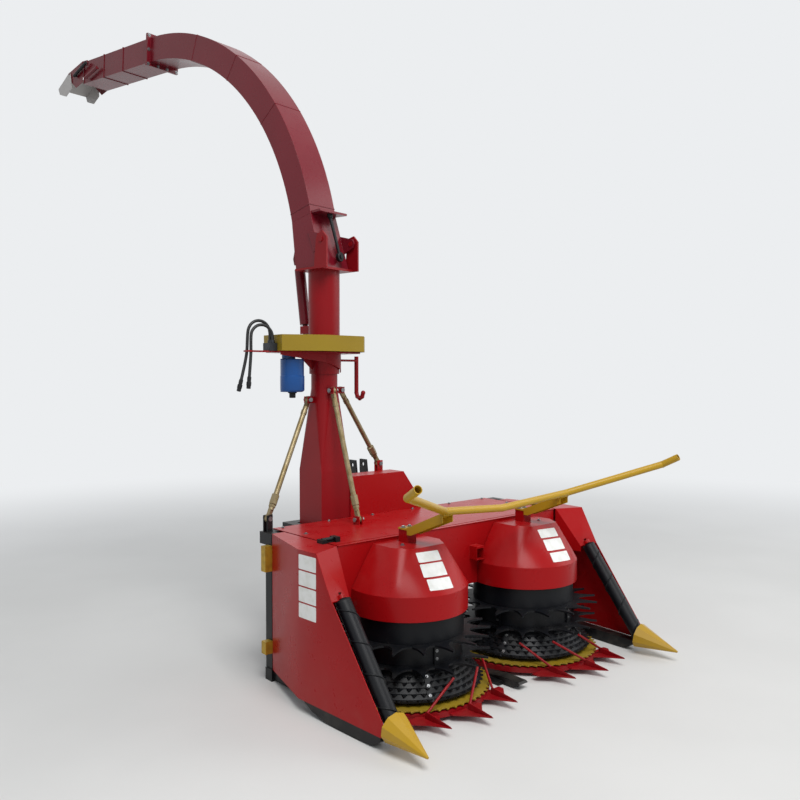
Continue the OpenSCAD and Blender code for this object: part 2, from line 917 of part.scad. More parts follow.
module tower() {
    color("#b3141a") {
        difference() {
            union() {
                block(-478, -478 + tower_w, chopper_y, chopper_y + chopper_d, deck_z, taper_low_z);
                hull() {
                    translate([tower_x - tower_w / 2, chopper_y, taper_low_z])
                        cube([tower_w, chopper_d, 0.1]);
                    translate([tower_x, tower_y, taper_high_z])
                        cylinder(r = pipe_r, h = 0.1, $fn = 32);
                }
                translate([tower_x, tower_y, taper_high_z])
                    cylinder(r = pipe_r, h = guard_z + guard_h - 20 - taper_high_z);
                stay_fork(front_stay, 1, -20, 36, -18, 18);
                stay_fork(right_stay, 1, -20, 44, -18, 18);
                stay_fork(left_stay, 1, -20, 44, -18, 18);
            }
            translate([tower_x - tower_w / 2 + tower_wall, chopper_y + tower_wall, deck_z - 1])
                cube([tower_w - 2 * tower_wall, chopper_d - 2 * tower_wall, taper_low_z - deck_z + 1.1]);
            hull() {
                translate([tower_x - tower_w / 2 + tower_wall, chopper_y + tower_wall, taper_low_z])
                    cube([tower_w - 2 * tower_wall, chopper_d - 2 * tower_wall, 0.1]);
                translate([tower_x, tower_y, taper_high_z])
                    cylinder(r = pipe_r - tower_wall, h = 0.1, $fn = 32);
            }
            translate([tower_x, tower_y, taper_high_z])
                cylinder(r = pipe_r - tower_wall, h = 400);
        }
    }
}

// Ends of the stays: lower end first
front_stay = [[-390, 430, deck_z + 26], [-400, tower_y - pipe_r - 30, 1440]];
right_stay = [[-835, 600, 800], [tower_x - pipe_r - 40, tower_y - 8, 1390]];
left_stay = [[49, 800, 1000], [tower_x + pipe_r + 40, tower_y + 4, 1440]];

module stay(ends) {
    len = norm(ends[1] - ends[0]);
    color("#b89b4e")
        along(ends[0], ends[1])
            difference() {
                union() {
                    translate([0, 0, 45])
                        cylinder(r = stay_r, h = len - 90);
                    block(-12, 12, -8, 8, 0, 60);
                    block(-12, 12, -8, 8, len - 60, len);
                    for (z = [0, len])
                        translate([0, 0, z])
                            rotate([90, 0, 0])
                                cylinder(r = 20, h = 16, center = true);
                }
                for (z = [0, len])
                    translate([0, 0, z])
                        rotate([90, 0, 0])
                            cylinder(r = 8 + fit, h = 20, center = true);
            }
}

// Fork and pin that hold end i of a stay; the cheeks run level along the stay
module stay_fork(ends, i, back, front, low, high) {
    translate(ends[i])
        rotate([0, 0, heading(ends[0], ends[1])]) {
            for (y = [8, -14])
                block(back, front, y, y + 6, low, high);
            rotate([90, 0, 0])
                cylinder(r = 8, h = 36, center = true);
        }
}

module stay_front() {
    stay(front_stay);
}

module stay_left() {
    stay(left_stay);
}

module stay_right() {
    stay(right_stay);
}

// Slew drive

module slew_bracket() {
    color("#b3141a")
        difference() {
            union() {
                translate([tower_x, tower_y, guard_z - bracket_t])
                    linear_extrude(bracket_t)
                        polygon([
                            [guard_half, -80], [guard_half, 80], [60, 140], [-60, 140], [-guard_reach, 70],
                            [-guard_reach, -70], [-60, -140], [60, -140]
                        ]);
                block(
                    tower_x - guard_reach - 172, tower_x - guard_reach + 2, tower_y - 44, tower_y + 4,
                    guard_z - bracket_t, guard_z
                );
                translate([tower_x, tower_y, guard_z - 120])
                    cylinder(r = pipe_r + 10, h = 120);
                translate([tower_x - 180, tower_y + 4, 0])
                    rotate([90, 0, 0])
                        linear_extrude(8)
                            polygon([[0, guard_z - bracket_t], [100, guard_z - 100], [100, guard_z - bracket_t]]);
            }
            translate([tower_x, tower_y, 0])
                cylinder(r = pipe_r + fit, h = 2000);
            for (route = [hose_a_route, hose_b_route])
                translate([route[len(route) - 4][0], route[0][1], guard_z - 20])
                    cylinder(r = 10.5, h = 40);
        }
}

// Routes of the two oil hoses, one point after the other from the port stub down to the coupling
hose_r = 8;
hose_a_route = [
    [-735, 736, 1704], [-735, 736, 1740], [-740, 736, 1765], [-754, 736, 1786], [-775, 736, 1800], [-800, 736, 1805],
    [-825, 736, 1800], [-846, 736, 1786], [-860, 736, 1765], [-866, 736, 1740], [-869, 736, 1700], [-872, 736, 1646],
    [-880, 736, 1600], [-892, 736, 1550], [-905, 736, 1500]
];
hose_b_route = [
    [-734, 712, 1704], [-734, 712, 1720], [-739, 712, 1744], [-753, 712, 1764], [-774, 712, 1778], [-798, 712, 1782],
    [-822, 712, 1778], [-843, 712, 1764], [-857, 712, 1744], [-861, 712, 1720], [-862, 712, 1690], [-862, 712, 1646],
    [-864, 712, 1610], [-868, 712, 1560], [-872, 712, 1515]
];

// Eight-sided tube round a route that keeps one distance behind the drum axes
module hose(route) {
    last = len(route) - 1;
    rings = [
        for (i = [0 : last])
            let (way = route[min(i + 1, last)] - route[max(i - 1, 0)], d = way / norm(way))
                for (k = [0 : 7])
                    route[i] + hose_r * (cos(45 * k) * [0, 1, 0] + sin(45 * k) * [-d[2], 0, d[0]])
    ];
    sides = [
        for (i = [0 : last - 1])
            for (k = [0 : 7])
                [8 * i + k, 8 * i + (k + 1) % 8, 8 * i + 8 + (k + 1) % 8, 8 * i + 8 + k]
    ];
    caps = [[for (k = [7 : -1 : 0]) k], [for (k = [0 : 7]) 8 * last + k]];
    polyhedron(points = rings, faces = concat(sides, caps), convexity = 4);
}

module hose_a() {
    color("#141416")
        hose(hose_a_route);
}

module hose_b() {
    color("#141416")
        hose(hose_b_route);
}

module hose_ends() {
    color("#2a2c2e")
        for (route = [hose_a_route, hose_b_route]) {
            foot = route[len(route) - 1];
            way = foot - route[len(route) - 2];
            rod(foot + 0.3 * way / norm(way), foot + 62 * way / norm(way), 13);
        }
}

// Control valve beside the slew motor, with the two ports of the hoses
module valve_block() {
    color("#3a3d40") {
        block(
            tower_x - guard_reach - 52, tower_x - guard_reach - 3, tower_y - 49, tower_y + 11,
            guard_z, guard_z + 40
        );
        for (route = [hose_a_route, hose_b_route])
            rod([route[0][0], route[0][1], guard_z + 30], route[0], 12);
    }
}

module slew_guard() {
    color("#c9a020")
        translate([tower_x, tower_y, guard_z])
            difference() {
                linear_extrude(guard_h)
                    guard_plan(0);
                translate([0, 0, -1])
                    linear_extrude(guard_h - 2)
                        guard_plan(3);
                cylinder(r = turn_r + run_gap, h = guard_h + 1);
            }
}

module guard_plan(inset) {
    polygon([
        [guard_half - inset, -120], [guard_half - inset, 120], [130, guard_half - inset],
        [-130, guard_half - inset], [-guard_reach + inset, 90], [-guard_reach + inset, -90],
        [-130, -guard_half + inset], [130, -guard_half + inset]
    ]);
}

module slew_motor() {
    color("#1d5fa8")
        translate([tower_x - 232, tower_y, guard_z - bracket_t - motor_h - 32]) {
            cylinder(r = motor_r, h = motor_h);
            translate([0, 0, motor_h])
                cylinder(r = motor_r - 8, h = 32);
        }
}

module hose_hook() {
    x = tower_x + 224;
    curve = [for (p = [[0, 1424], [-9, 1402], [-31, 1392], [-53, 1402], [-62, 1424]]) [x, tower_y + p[0], p[1]]];
    color("#c4161c")
        difference() {
            union() {
                block(tower_x + 60, x, tower_y - 12, tower_y + 12, guard_z - 50, guard_z - 38);
                rod(curve[0], [x, tower_y, guard_z - 20], 12);
                for (i = [0 : 3])
                    rod(curve[i], curve[i + 1], 12);
                for (p = curve)
                    translate(p)
                        sphere(r = 13);
            }
            translate([tower_x, tower_y, 1500])
                cylinder(r = pipe_r + 10 + fit, h = 200);
        }
}

// Slewing spout

module spout_tube() {
    pin_y = -lift_s;
    color("#b3141a")
        spout_place()
            difference() {
                union() {
                    translate([0, 0, guard_z + fit])
                        cylinder(r = turn_r, h = turn_top_z - guard_z - fit);
                    translate([0, 0, guard_z + 15])
                        linear_extrude(22)
                            polygon(tooth_ring(gear_teeth, gear_r - 8, gear_r, 0));
                    for (side = [1, -1])
                        on_side(side) {
                            translate([box_w / 2 + 5, 0, 0])
                                upright(10)
                                    polygon([
                                        [pin_y - 40, turn_top_z - 12], [-50, turn_top_z - 12], [pin_y + 42, lift_z],
                                        [pin_y + 30, lift_z + 34], [pin_y - 8, lift_z + 44], [pin_y - 40, lift_z + 10]
                                    ]);
                            translate([box_w / 2 - 12, pin_y, lift_z])
                                rotate([0, 90, 0])
                                    cylinder(r = lift_pin_r, h = 32);
                        }
                    block(-box_w / 2 - 15, box_w / 2 + 15, -110, 100, turn_top_z - 12, turn_top_z);
                    for (x = [-25, 16])
                        block(x, x + 9, turn_r - 10, lift_low[1] + 20, lift_low[2] - 20, lift_low[2] + 24);
                    translate([-25, lift_low[1], lift_low[2]])
                        rotate([0, 90, 0])
                            cylinder(r = 10, h = 50);
                }
                translate([0, 0, guard_z])
                    cylinder(r = turn_r - 6, h = 1000);
            }
}

module spout_box() {
    color("#a51a25")
        spout_place()
            difference() {
                union() {
                    box_form(0, turn_top_z + fit, 0);
                    for (side = [1, -1])
                        on_side(side)
                            translate([box_w / 2 - 10, 0, 0])
                                upright(10)
                                    polygon([
                                        [-30, lift_z - 60], [15, lift_z + 60], [-lift_s - 16, lift_z + 24],
                                        [-lift_s - 28, lift_z], [-lift_s - 16, lift_z - 24]
                                    ]);
                    for (x = [-25, 16])
                        translate([x, 0, 0])
                            upright(9)
                                polygon([
                                    [100, 2330], [140, 2330], [200, 2280], [228, 2180],
                                    [218, 2145], [192, 2145], [180, 2190], [100, 2230]
                                ]);
                    translate([-25, 205, 2166])
                        rotate([0, 90, 0])
                            cylinder(r = 10, h = 50);
                }
                box_form(duct_wall, turn_top_z - 2, 2);
                for (side = [1, -1])
                    on_side(side)
                        translate([box_w / 2 - 16, -lift_s, lift_z])
                            rotate([0, 90, 0])
                                cylinder(r = lift_pin_r + fit, h = 40);
            }
}

// Hinge box from the turning tube to the bend, thinner by inset and longer by past
module box_form(inset, low_z, past) {
    hull() {
        block(-box_w / 2 + inset, box_w / 2 - inset, -81 + inset, 110 - inset, low_z, turn_top_z + fit + 8);
        translate([0, bend_s, bend_z])
            rotate([-bend_start, 0, 0])
                block(-duct_w / 2 + inset, duct_w / 2 - inset, -bend_r + inset, -bend_r + duct_d - inset, -1, past);
    }
}

module spout_elbow() {
    color("#a51a25")
        spout_place()
            difference() {
                union() {
                    bend_sweep(bend_start, elbow_end - 0.004, 0);
                    translate([0, bend_s, bend_z])
                        rotate([-elbow_end, 0, 0])
                            block(-duct_w / 2 - 25, duct_w / 2 + 25, -bend_r - 25, -bend_r + duct_d + 25, -10, -0.1);
                }
                bend_sweep(bend_start - 1, elbow_end + 1, duct_wall);
            }
}

// Sweeps the duct's section round the bend, thinner by inset on every side
module bend_sweep(from, to, inset) {
    translate([0, bend_s, bend_z])
        rotate([90, 0, -90])
            rotate([0, 0, from])
                rotate_extrude(angle = to - from, $fn = 180)
                    translate([bend_r - duct_d + inset, -duct_w / 2 + inset])
                        square([duct_d - 2 * inset, duct_w - 2 * inset]);
}

module spout_end() {
    ear = duct_w / 2;
    color("#a51a25")
        end_place() {
            difference() {
                union() {
                    block(-duct_w / 2, duct_w / 2, -end_len, 0, -duct_d, 0);
                    block(-duct_w / 2 - 25, duct_w / 2 + 25, -end_len, -end_len + 10, -duct_d - 25, 25);
                    for (y = [-560, -300])
                        block(-duct_w / 2 - 4, duct_w / 2 + 4, y, y + 8, -duct_d - 4, 4);
                }
                block(
                    -duct_w / 2 + duct_wall, duct_w / 2 - duct_wall, -end_len - 1, 1,
                    -duct_d + duct_wall, -duct_wall
                );
            }
            for (side = [1, -1])
                on_side(side) {
                    translate([ear, 0, 0])
                        upright(4)
                            polygon([[-60, -30], [-60, 4], [20, 8], [26, -6], [14, -22], [-10, -30]]);
                    translate([ear - 2, 12, -8])
                        rotate([0, 90, 0])
                            cylinder(r = flap_pin_r, h = 14);
                }
        }
}

module flap_place_one() {
    end_place()
        translate([0, 12, -8])
            rotate([-flap_one_tilt, 0, 0])
                children();
}

module flap_place_two() {
    flap_place_one()
        translate([0, flap_one_len - 14, -6])
            rotate([-flap_two_tilt, 0, 0])
                children();
}

// A trough of one top plate and two cheeks that turn on a pin through the origin
module flap(len, half, drop) {
    difference() {
        union() {
            block(-half, half, 26, len, 8, 11);
            for (side = [1, -1])
                on_side(side)
                    translate([half - 3, 0, 0])
                        upright(3)
                            polygon([
                                [-14, -10], [-8, 10], [22, 11], [len, 11], [len, 11 - drop * 0.4],
                                [len * 0.6, 11 - drop], [20, 11 - drop], [-10, -30]
                            ]);
        }
        translate([-half - 5, 0, 0])
            rotate([0, 90, 0])
                cylinder(r = flap_pin_r + fit, h = 2 * half + 10);
    }
}

module flap_one() {
    half = duct_w / 2 + 9;
    color("#8c1820")
        flap_place_one() {
            flap(flap_one_len, half, 150);
            for (side = [1, -1])
                on_side(side)
                    translate([half - 1, flap_one_len - 14, -6])
                        rotate([0, 90, 0])
                            cylinder(r = flap_pin_r, h = 12);
        }
}

module flap_two() {
    color("#c9c5c2")
        flap_place_two()
            flap(flap_two_len, duct_w / 2 + 17, 130);
}

// Lift cylinder of the spout
lift_low = [0, 150, 1775];
lift_high = [0, 205, 2166];
lift_len = norm(lift_high - lift_low);

module lift_barrel() {
    color("#8a1219")
        spout_place()
            along(lift_low, lift_high)
                difference() {
                    union() {
                        translate([0, 0, 34])
                            cylinder(r = barrel_r, h = lift_len - 34 - 46);
                        translate([0, 0, 10])
                            cylinder(r = 15, h = 40);
                        rotate([90, 0, 0])
                            cylinder(r = 22, h = 30, center = true);
                    }
                    translate([0, 0, 44])
                        cylinder(r = barrel_r - 5, h = lift_len - 44 - 60);
                    translate([0, 0, 60])
                        cylinder(r = rod_lift_r + fit, h = lift_len);
                    rotate([90, 0, 0])
                        cylinder(r = 10 + fit, h = 60, center = true);
                }
}

module lift_rod() {
    color("#b9bcc0")
        spout_place()
            along(lift_low, lift_high)
                difference() {
                    union() {
                        translate([0, 0, 60])
                            cylinder(r = rod_lift_r, h = lift_len - 60 - 12);
                        translate([0, 0, 60])
                            cylinder(r = barrel_r - 5 - fit, h = 24);
                        translate([0, 0, lift_len])
                            rotate([90, 0, 0])
                                cylinder(r = 22, h = 30, center = true);
                    }
                    for (x = [-3.2, 3.2])
                        translate([x, 0, lift_len])
                            rotate([90, 0, 0])
                                cylinder(r = 10.5, h = 60, center = true);
                    translate([-3.2, -30, lift_len - 10.5])
                        cube([6.4, 60, 21]);
                }
}

base_frame();
rear_frame();
side_panel_left();
side_panel_right();
panel_clips();
top_cover();
front_wall();
rear_hood();
chopper_housing();
gearbox();
intake_channel();
drum_cover_left();
drum_cover_right();
pusher_bar();
cutter_pan_left();
cutter_pan_right();
tip_cone_left();
tip_cone_right();
tower();
stay_front();
stay_left();
stay_right();
slew_bracket();
slew_guard();
slew_motor();
hose_hook();
deck_latches();
valve_block();
hose_a();
hose_b();
hose_ends();
drum_left();
drum_right();
knife_disc_left();
knife_disc_right();
divider_tube_left();
divider_tube_right();
feed_roller_left();
feed_roller_right();
input_shaft();
spout_tube();
spout_box();
spout_elbow();
spout_end();
lift_barrel();
lift_rod();
flap_one();
flap_two();
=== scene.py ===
"""Looks of a two-drum forage harvester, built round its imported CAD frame.

Lengths are in metres. Z is up, the drums face -Y and +X is the machine's left.
"""

from __future__ import annotations

import logging
from dataclasses import dataclass
from functools import cache, partial
from math import cos, hypot, pi, radians, sin, sqrt
from typing import Callable, Iterable, Sequence

import bpy
import numpy as np
from bpy.types import Material, Node, NodeSocket, NodeTree, Object, World
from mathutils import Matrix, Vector


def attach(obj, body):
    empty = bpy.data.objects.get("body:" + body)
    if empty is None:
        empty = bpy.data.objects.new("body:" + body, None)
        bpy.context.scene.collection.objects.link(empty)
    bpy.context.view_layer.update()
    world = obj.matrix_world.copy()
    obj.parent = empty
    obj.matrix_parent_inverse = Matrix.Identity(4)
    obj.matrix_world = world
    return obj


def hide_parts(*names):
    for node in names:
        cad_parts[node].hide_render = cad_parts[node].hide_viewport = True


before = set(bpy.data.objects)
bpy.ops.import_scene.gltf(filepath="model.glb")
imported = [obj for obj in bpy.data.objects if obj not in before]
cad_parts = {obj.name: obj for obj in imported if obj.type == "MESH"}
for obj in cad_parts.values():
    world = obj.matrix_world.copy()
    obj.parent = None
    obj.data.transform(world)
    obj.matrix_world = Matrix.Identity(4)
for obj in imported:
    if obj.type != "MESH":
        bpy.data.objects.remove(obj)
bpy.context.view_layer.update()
LOG = logging.getLogger("harvester")
Array = np.ndarray
Adder = Callable[..., Node]
Point = tuple[float, float, float]
Triple = Sequence[float]
Points = Sequence[Triple]
Profile = Sequence[tuple[float, float]]
LEFT, BACK, UP = (1.0, 0.0, 0.0), (0.0, 1.0, 0.0), (0.0, 0.0, 1.0)


# Colour and node helpers


def linear(code: str) -> tuple[float, float, float, float]:
    """Turns an sRGB hex code into linear light.

    Args:
        code: Colour as "#rrggbb".

    Returns:
        Red, green, blue and a full alpha.
    """
    parts = [int(code[i : i + 2], 16) / 255 for i in (1, 3, 5)]
    curve = [c / 12.92 if c <= 0.04045 else ((c + 0.055) / 1.055) ** 2.4 for c in parts]
    return curve[0], curve[1], curve[2], 1.0


def add(tree: NodeTree, kind: str, settings: dict[str, str] | None = None, **inputs: object) -> Node:
    """Adds one shader node.

    Args:
        tree: Node tree that gets the node.
        kind: Node type without the "ShaderNode" prefix.
        settings: Attributes of the node.
        **inputs: A value, a socket or a node, which gives its first output in use. In an input's name an
            underscore stands for a space, and "i" with a number picks the input by its index.

    Returns:
        The node.
    """
    node = tree.nodes.new("ShaderNode" + kind)
    for name, value in (settings or {}).items():
        setattr(node, name, value)
    for name, value in inputs.items():
        socket = node.inputs[int(name[1:]) if name[1:].isdigit() else name.replace("_", " ")]
        if isinstance(value, Node):
            value = next(output for output in value.outputs if output.enabled)
        if isinstance(value, NodeSocket):
            tree.links.new(value, socket)
        else:
            socket.default_value = value
    return node


# Settings of the nodes that come up often
MULTIPLY = {"operation": "MULTIPLY"}
MULTIPLY_ADD = {"operation": "MULTIPLY_ADD"}
SUBTRACT = {"operation": "SUBTRACT"}
MAXIMUM = {"operation": "MAXIMUM"}
SOFT = {"interpolation_type": "SMOOTHSTEP"}
COLOURS = {"data_type": "RGBA"}


def cleared(owner: Material | World) -> Adder:
    """Empties the node tree of a material or a world, and gives the tree's adder of nodes."""
    owner.use_nodes = True
    owner.node_tree.nodes.clear()
    return partial(add, owner.node_tree)


def new_material(name: str) -> tuple[Material, Adder, NodeSocket]:
    """Makes an empty material.

    Args:
        name: Material name.

    Returns:
        The material, its adder of nodes and the Object coordinates' socket.
    """
    material = bpy.data.materials.new(name)
    node = cleared(material)
    return material, node, node("TexCoord").outputs["Object"]


def backdrop_rays(node: Adder) -> Node:
    """Picks the rays that see the white backdrop: the camera's and those of mirrors and glass.

    Args:
        node: Adder of nodes.

    Returns:
        A node that gives 1 for those rays and 0 for the rest.
    """
    path = node("LightPath").outputs
    seen = node("Math", MAXIMUM, i0=path["Is Camera Ray"], i1=path["Is Glossy Ray"])
    return node("Math", MAXIMUM, i0=seen, i1=path["Is Transmission Ray"])


# Finishes


@dataclass(frozen=True)
class Enamel:
    """Sprayed alkyd enamel on steel.

    It looks like a glossy film with faint orange peel, faded in patches of about 0.6 m. Grey dust lies in
    clouds of about 90 mm on faces that look up or stand low, and chips are about 4 mm. Scales are in patches
    to the metre.
    """

    name: str
    colour: str
    faded: str
    roughness: float = 0.22
    dust: float = 0.25
    chips: float = 0.0
    coat: float = 0.0
    shine: float = 0.5
    bare: str = "#6f6a64"
    dust_colour: str = "#8d8578"
    dusty_roughness: float = 0.75
    fade_scale: float = 1.7
    cloud_scale: float = 11.0
    chip_scale: float = 260.0
    splash_top: float = 0.45
    peel: float = 0.05
    peel_mm: float = 9.0
    peel_depth: float = 0.0006

    def build(self) -> Material:
        """Makes the material: one noise fades the paint, and another lays dust and chips over it.

        Returns:
            The material.
        """
        material, node, place = new_material(self.name)
        patch = node("TexNoise", Vector=place, Scale=self.fade_scale, Detail=3.0)
        cloud = node("TexNoise", Vector=place, Scale=self.cloud_scale, Detail=6.0, Roughness=0.62)
        fade = node("MapRange", SOFT, Value=patch, From_Min=0.35, From_Max=0.72)
        paint = node("Mix", COLOURS, i0=fade, i6=linear(self.colour), i7=linear(self.faded))
        normal = node("NewGeometry").outputs["Normal"]
        up = node("SeparateXYZ", Vector=normal).outputs["Z"]
        height = node("SeparateXYZ", Vector=place).outputs["Z"]
        level = node("MapRange", SOFT, Value=up, From_Min=0.2, From_Max=0.95)
        settled = node("MapRange", SOFT, Value=cloud, From_Min=0.35, From_Max=0.75)
        flat = node("Math", MULTIPLY, i0=level, i1=settled)
        low = node("MapRange", SOFT, Value=height, From_Min=self.splash_top, From_Max=0.0)
        thrown = node("MapRange", SOFT, Value=cloud, From_Min=0.42, From_Max=0.7)
        splash = node("Math", MULTIPLY, i0=low, i1=thrown)
        thicker = node("Math", MAXIMUM, i0=flat, i1=splash)
        film = node("Math", MULTIPLY, i0=thicker, i1=self.dust)
        dusty = node("Mix", COLOURS, i0=film, i6=paint, i7=linear(self.dust_colour))
        fine = node("TexNoise", Vector=place, Scale=self.chip_scale, Detail=4.0)
        more = 0.1 * self.chips
        speck = node("MapRange", SOFT, Value=fine, From_Min=0.74 - more, From_Max=0.76 - more)
        worn = node("MapRange", SOFT, Value=cloud, From_Min=0.6, From_Max=0.68)
        chip = node("Math", MULTIPLY, i0=speck, i1=worn)
        colour = node("Mix", COLOURS, i0=chip, i6=dusty, i7=linear(self.bare))
        rough = node("MapRange", Value=film, To_Min=self.roughness, To_Max=self.dusty_roughness)
        rough = node("Math", SUBTRACT, i0=rough, i1=0.07)
        rough = node("Math", MULTIPLY_ADD, i0=cloud, i1=0.16, i2=rough)
        wave = node("TexNoise", Vector=place, Scale=1000.0 / self.peel_mm, Detail=1.0)
        bump = node("Bump", Strength=self.peel, Distance=self.peel_depth, Height=wave)
        shader = node(
            "BsdfPrincipled", Base_Color=colour, Roughness=rough, Normal=bump,
            Coat_Weight=self.coat, Coat_Roughness=0.12, Specular_IOR_Level=self.shine,
        )
        node("OutputMaterial", Surface=shader)
        return material


@dataclass(frozen=True)
class BareMetal:
    """Plated or machined steel: dull metal with fine streaks along one axis and patches of a second tone."""

    name: str
    colour: str
    second: str
    roughness: float = 0.3
    grain: Point = (1.0, 1.0, 1.0)
    grain_mm: float = 2.0
    grain_depth: float = 0.0004
    patch_mm: float = 60.0
    metallic: float = 1.0

    def build(self) -> Material:
        """Makes the material; grain stretches the noise along the machined or drawn direction.

        Returns:
            The material.
        """
        material, node, place = new_material(self.name)
        stretched = node("Mapping", Vector=place, Scale=self.grain)
        grain = node("TexNoise", Vector=stretched, Scale=1000.0 / self.grain_mm, Detail=3.0)
        patch = node("TexNoise", Vector=place, Scale=1000.0 / self.patch_mm, Detail=5.0)
        share = node("MapRange", SOFT, Value=patch, From_Min=0.38, From_Max=0.66)
        colour = node("Mix", COLOURS, i0=share, i6=linear(self.colour), i7=linear(self.second))
        rough = node("Math", MULTIPLY_ADD, i0=grain, i1=0.22, i2=self.roughness - 0.08)
        bump = node("Bump", Strength=0.15, Distance=self.grain_depth, Height=grain)
        shader = node(
            "BsdfPrincipled", Base_Color=colour, Roughness=rough, Normal=bump, Metallic=self.metallic
        )
        node("OutputMaterial", Surface=shader)
        return material


@dataclass(frozen=True)
class Slab:
    """Pale trowelled floor that fades into the backdrop's white some metres away."""

    name: str
    colour: str
    second: str
    backdrop: str
    roughness: float = 0.85
    cloud_scale: float = 0.9
    fade_from: float = 2.6
    fade_to: float = 9.0

    def build(self) -> Material:
        """Makes the material; only the backdrop's rays see the fade, so the floor still lights the machine.

        Returns:
            The material.
        """
        material, node, place = new_material(self.name)
        broad = node("TexNoise", Vector=place, Scale=self.cloud_scale, Detail=6.0)
        tone = node("MapRange", SOFT, Value=broad, From_Min=0.3, From_Max=0.7)
        colour = node("Mix", COLOURS, i0=tone, i6=linear(self.colour), i7=linear(self.second))
        floor = node("BsdfPrincipled", Base_Color=colour, Roughness=self.roughness)
        far = node("VectorMath", {"operation": "LENGTH"}, i0=place)
        fade = node("MapRange", SOFT, Value=far, From_Min=self.fade_from, From_Max=self.fade_to)
        share = node("Math", MULTIPLY, i0=fade, i1=backdrop_rays(node))
        white = node("Emission", Color=linear(self.backdrop), Strength=1.0)
        mixed = node("MixShader", i0=share, i1=floor, i2=white)
        node("OutputMaterial", Surface=mixed)
        return material


@dataclass(frozen=True)
class Polymer:
    """Matt vinyl or rubber with a second tone in patches; a wrap scale above 0 adds a hose's wrap marks."""

    name: str
    colour: str
    second: str
    roughness: float
    patch_scale: float
    share_span: tuple[float, float]
    wrap_scale: float = 0.0
    wrap_depth: float = 0.0003

    def build(self) -> Material:
        """Makes the material.

        Returns:
            The material.
        """
        material, node, place = new_material(self.name)
        patch = node("TexNoise", Vector=place, Scale=self.patch_scale, Detail=4.0)
        low, high = self.share_span
        share = node("MapRange", SOFT, Value=patch, From_Min=low, From_Max=high)
        colour = node("Mix", COLOURS, i0=share, i6=linear(self.colour), i7=linear(self.second))
        relief = {}
        if self.wrap_scale:
            rings = {"bands_direction": "Z"}
            wrap = node("TexWave", rings, Vector=place, Scale=self.wrap_scale, Distortion=1.5).outputs["Fac"]
            relief["Normal"] = node("Bump", Strength=0.2, Distance=self.wrap_depth, Height=wrap)
        shader = node("BsdfPrincipled", Base_Color=colour, Roughness=self.roughness, **relief)
        node("OutputMaterial", Surface=shader)
        return material


# Folded sheets in fresh enamel: a deep gloss red with hardly any dust
GLOSS_RED = Enamel("gloss_red_enamel", "#a20e12", "#980c10", roughness=0.28, dust=0.05, shine=0.16)
# The spout: a duller, darker wine red, partly sun-faded paint and partly painted shade, as its sides stand in
# shade
SPOUT_RED = Enamel("sun_faded_and_shaded_red_enamel", "#660d1a", "#6f1220", roughness=0.27, dust=0.1, shine=0.28)
# Welded plate: a red between those two, broken by a few chips
WELD_RED = Enamel(
    "red_enamel_on_welded_plate", "#8c0d15", "#800b13", roughness=0.34, dust=0.06, chips=0.3, shine=0.2
)
# Pusher bar and nose cones: a warm yellow with small chips
YELLOW = Enamel("gloss_yellow_enamel", "#b68f1b", "#aa8518", roughness=0.34, dust=0.06, chips=0.4, shine=0.35)
# Knife discs and guard: the same yellow made darker and browner, partly wear from use and partly painted
# shade, since both stand in shade
OLIVE = Enamel("aged_and_shaded_yellow_enamel", "#937a1c", "#887018", roughness=0.4, dust=0.1, chips=0.4, shine=0.35)
# Frame members: satin black, dusty near the ground
BLACK_FRAME = Enamel(
    "black_chassis_enamel", "#08090b", "#0d0e10", roughness=0.4, dust=0.1, chips=0.5, shine=0.3
)
# Drums: blue-black and half matt from the crop that rubs them
BLACK_DRUM = Enamel(
    "black_enamel_on_rolled_steel", "#04060b", "#080a10", roughness=0.46, dust=0.03, chips=0.5, shine=0.25
)
# The last flap shows its matt undercoat
PALE_GREY = Enamel("pale_grey_undercoat", "#b4b0ad", "#a39f9c", roughness=0.5, dust=0.15)
# Motor casting: clean gloss blue
BLUE = Enamel(
    "gloss_blue_enamel_on_cast_iron", "#0f4a8c", "#0d4279", roughness=0.3, dust=0.06, coat=0.05, shine=0.35
)
# Stays: a dull tan with a soft metal shine
ZINC = BareMetal("yellow_passivated_zinc", "#8f8164", "#7d6d4c", roughness=0.42, patch_mm=45.0, metallic=0.85)
# Corner clips: a strong yellow that only half looks like metal
CLIP = BareMetal("yellow_chromate_zinc", "#b7952f", "#a3832a", roughness=0.4, patch_mm=30.0, metallic=0.5)
# Struts and couplings: near black with a satin shine
PHOSPHATE = BareMetal("black_phosphated_steel", "#1b1b1d", "#252527", roughness=0.45, metallic=0.6)
# Castings: dark grey with a fine grain
IRON = BareMetal("machined_cast_iron", "#44464a", "#3a3c3e", roughness=0.45, grain_mm=1.5)
# Shaft and cylinder rod: bright, with grinding marks round them
CHROME = BareMetal("ground_chromed_rod", "#c9cbce", "#bcbec1", roughness=0.12, grain=(1.0, 1.0, 8.0))
# Bolts, nuts and pins: pale grey and slightly blotched
PLATED = BareMetal("zinc_plated_bolts", "#8b8c8c", "#76777a", roughness=0.36, patch_mm=15.0)
# Hose cover: extruded black rubber with a grey bloom in patches of about 30 mm
RUBBER = Polymer("black_oil_hose_rubber", "#101012", "#1d1d1f", 0.52, 33.0, (0.45, 0.8), wrap_scale=90.0)
# Blank signs: calendered white vinyl, slightly yellowed in patches of about 40 mm
VINYL = Polymer("blank_white_vinyl", "#e9e9e6", "#dcdcd6", 0.45, 25.0, (0.4, 0.7))
BACKDROP = "#eceef0"
FLOOR = Slab("trowelled_concrete", "#d6d5d2", "#d1d0cd", BACKDROP)

Finish = Enamel | BareMetal | Polymer | Slab


@cache
def material_of(finish: Finish) -> Material:
    """The finish's material, built at its first use."""
    return finish.build()


# Dressing of the CAD nodes


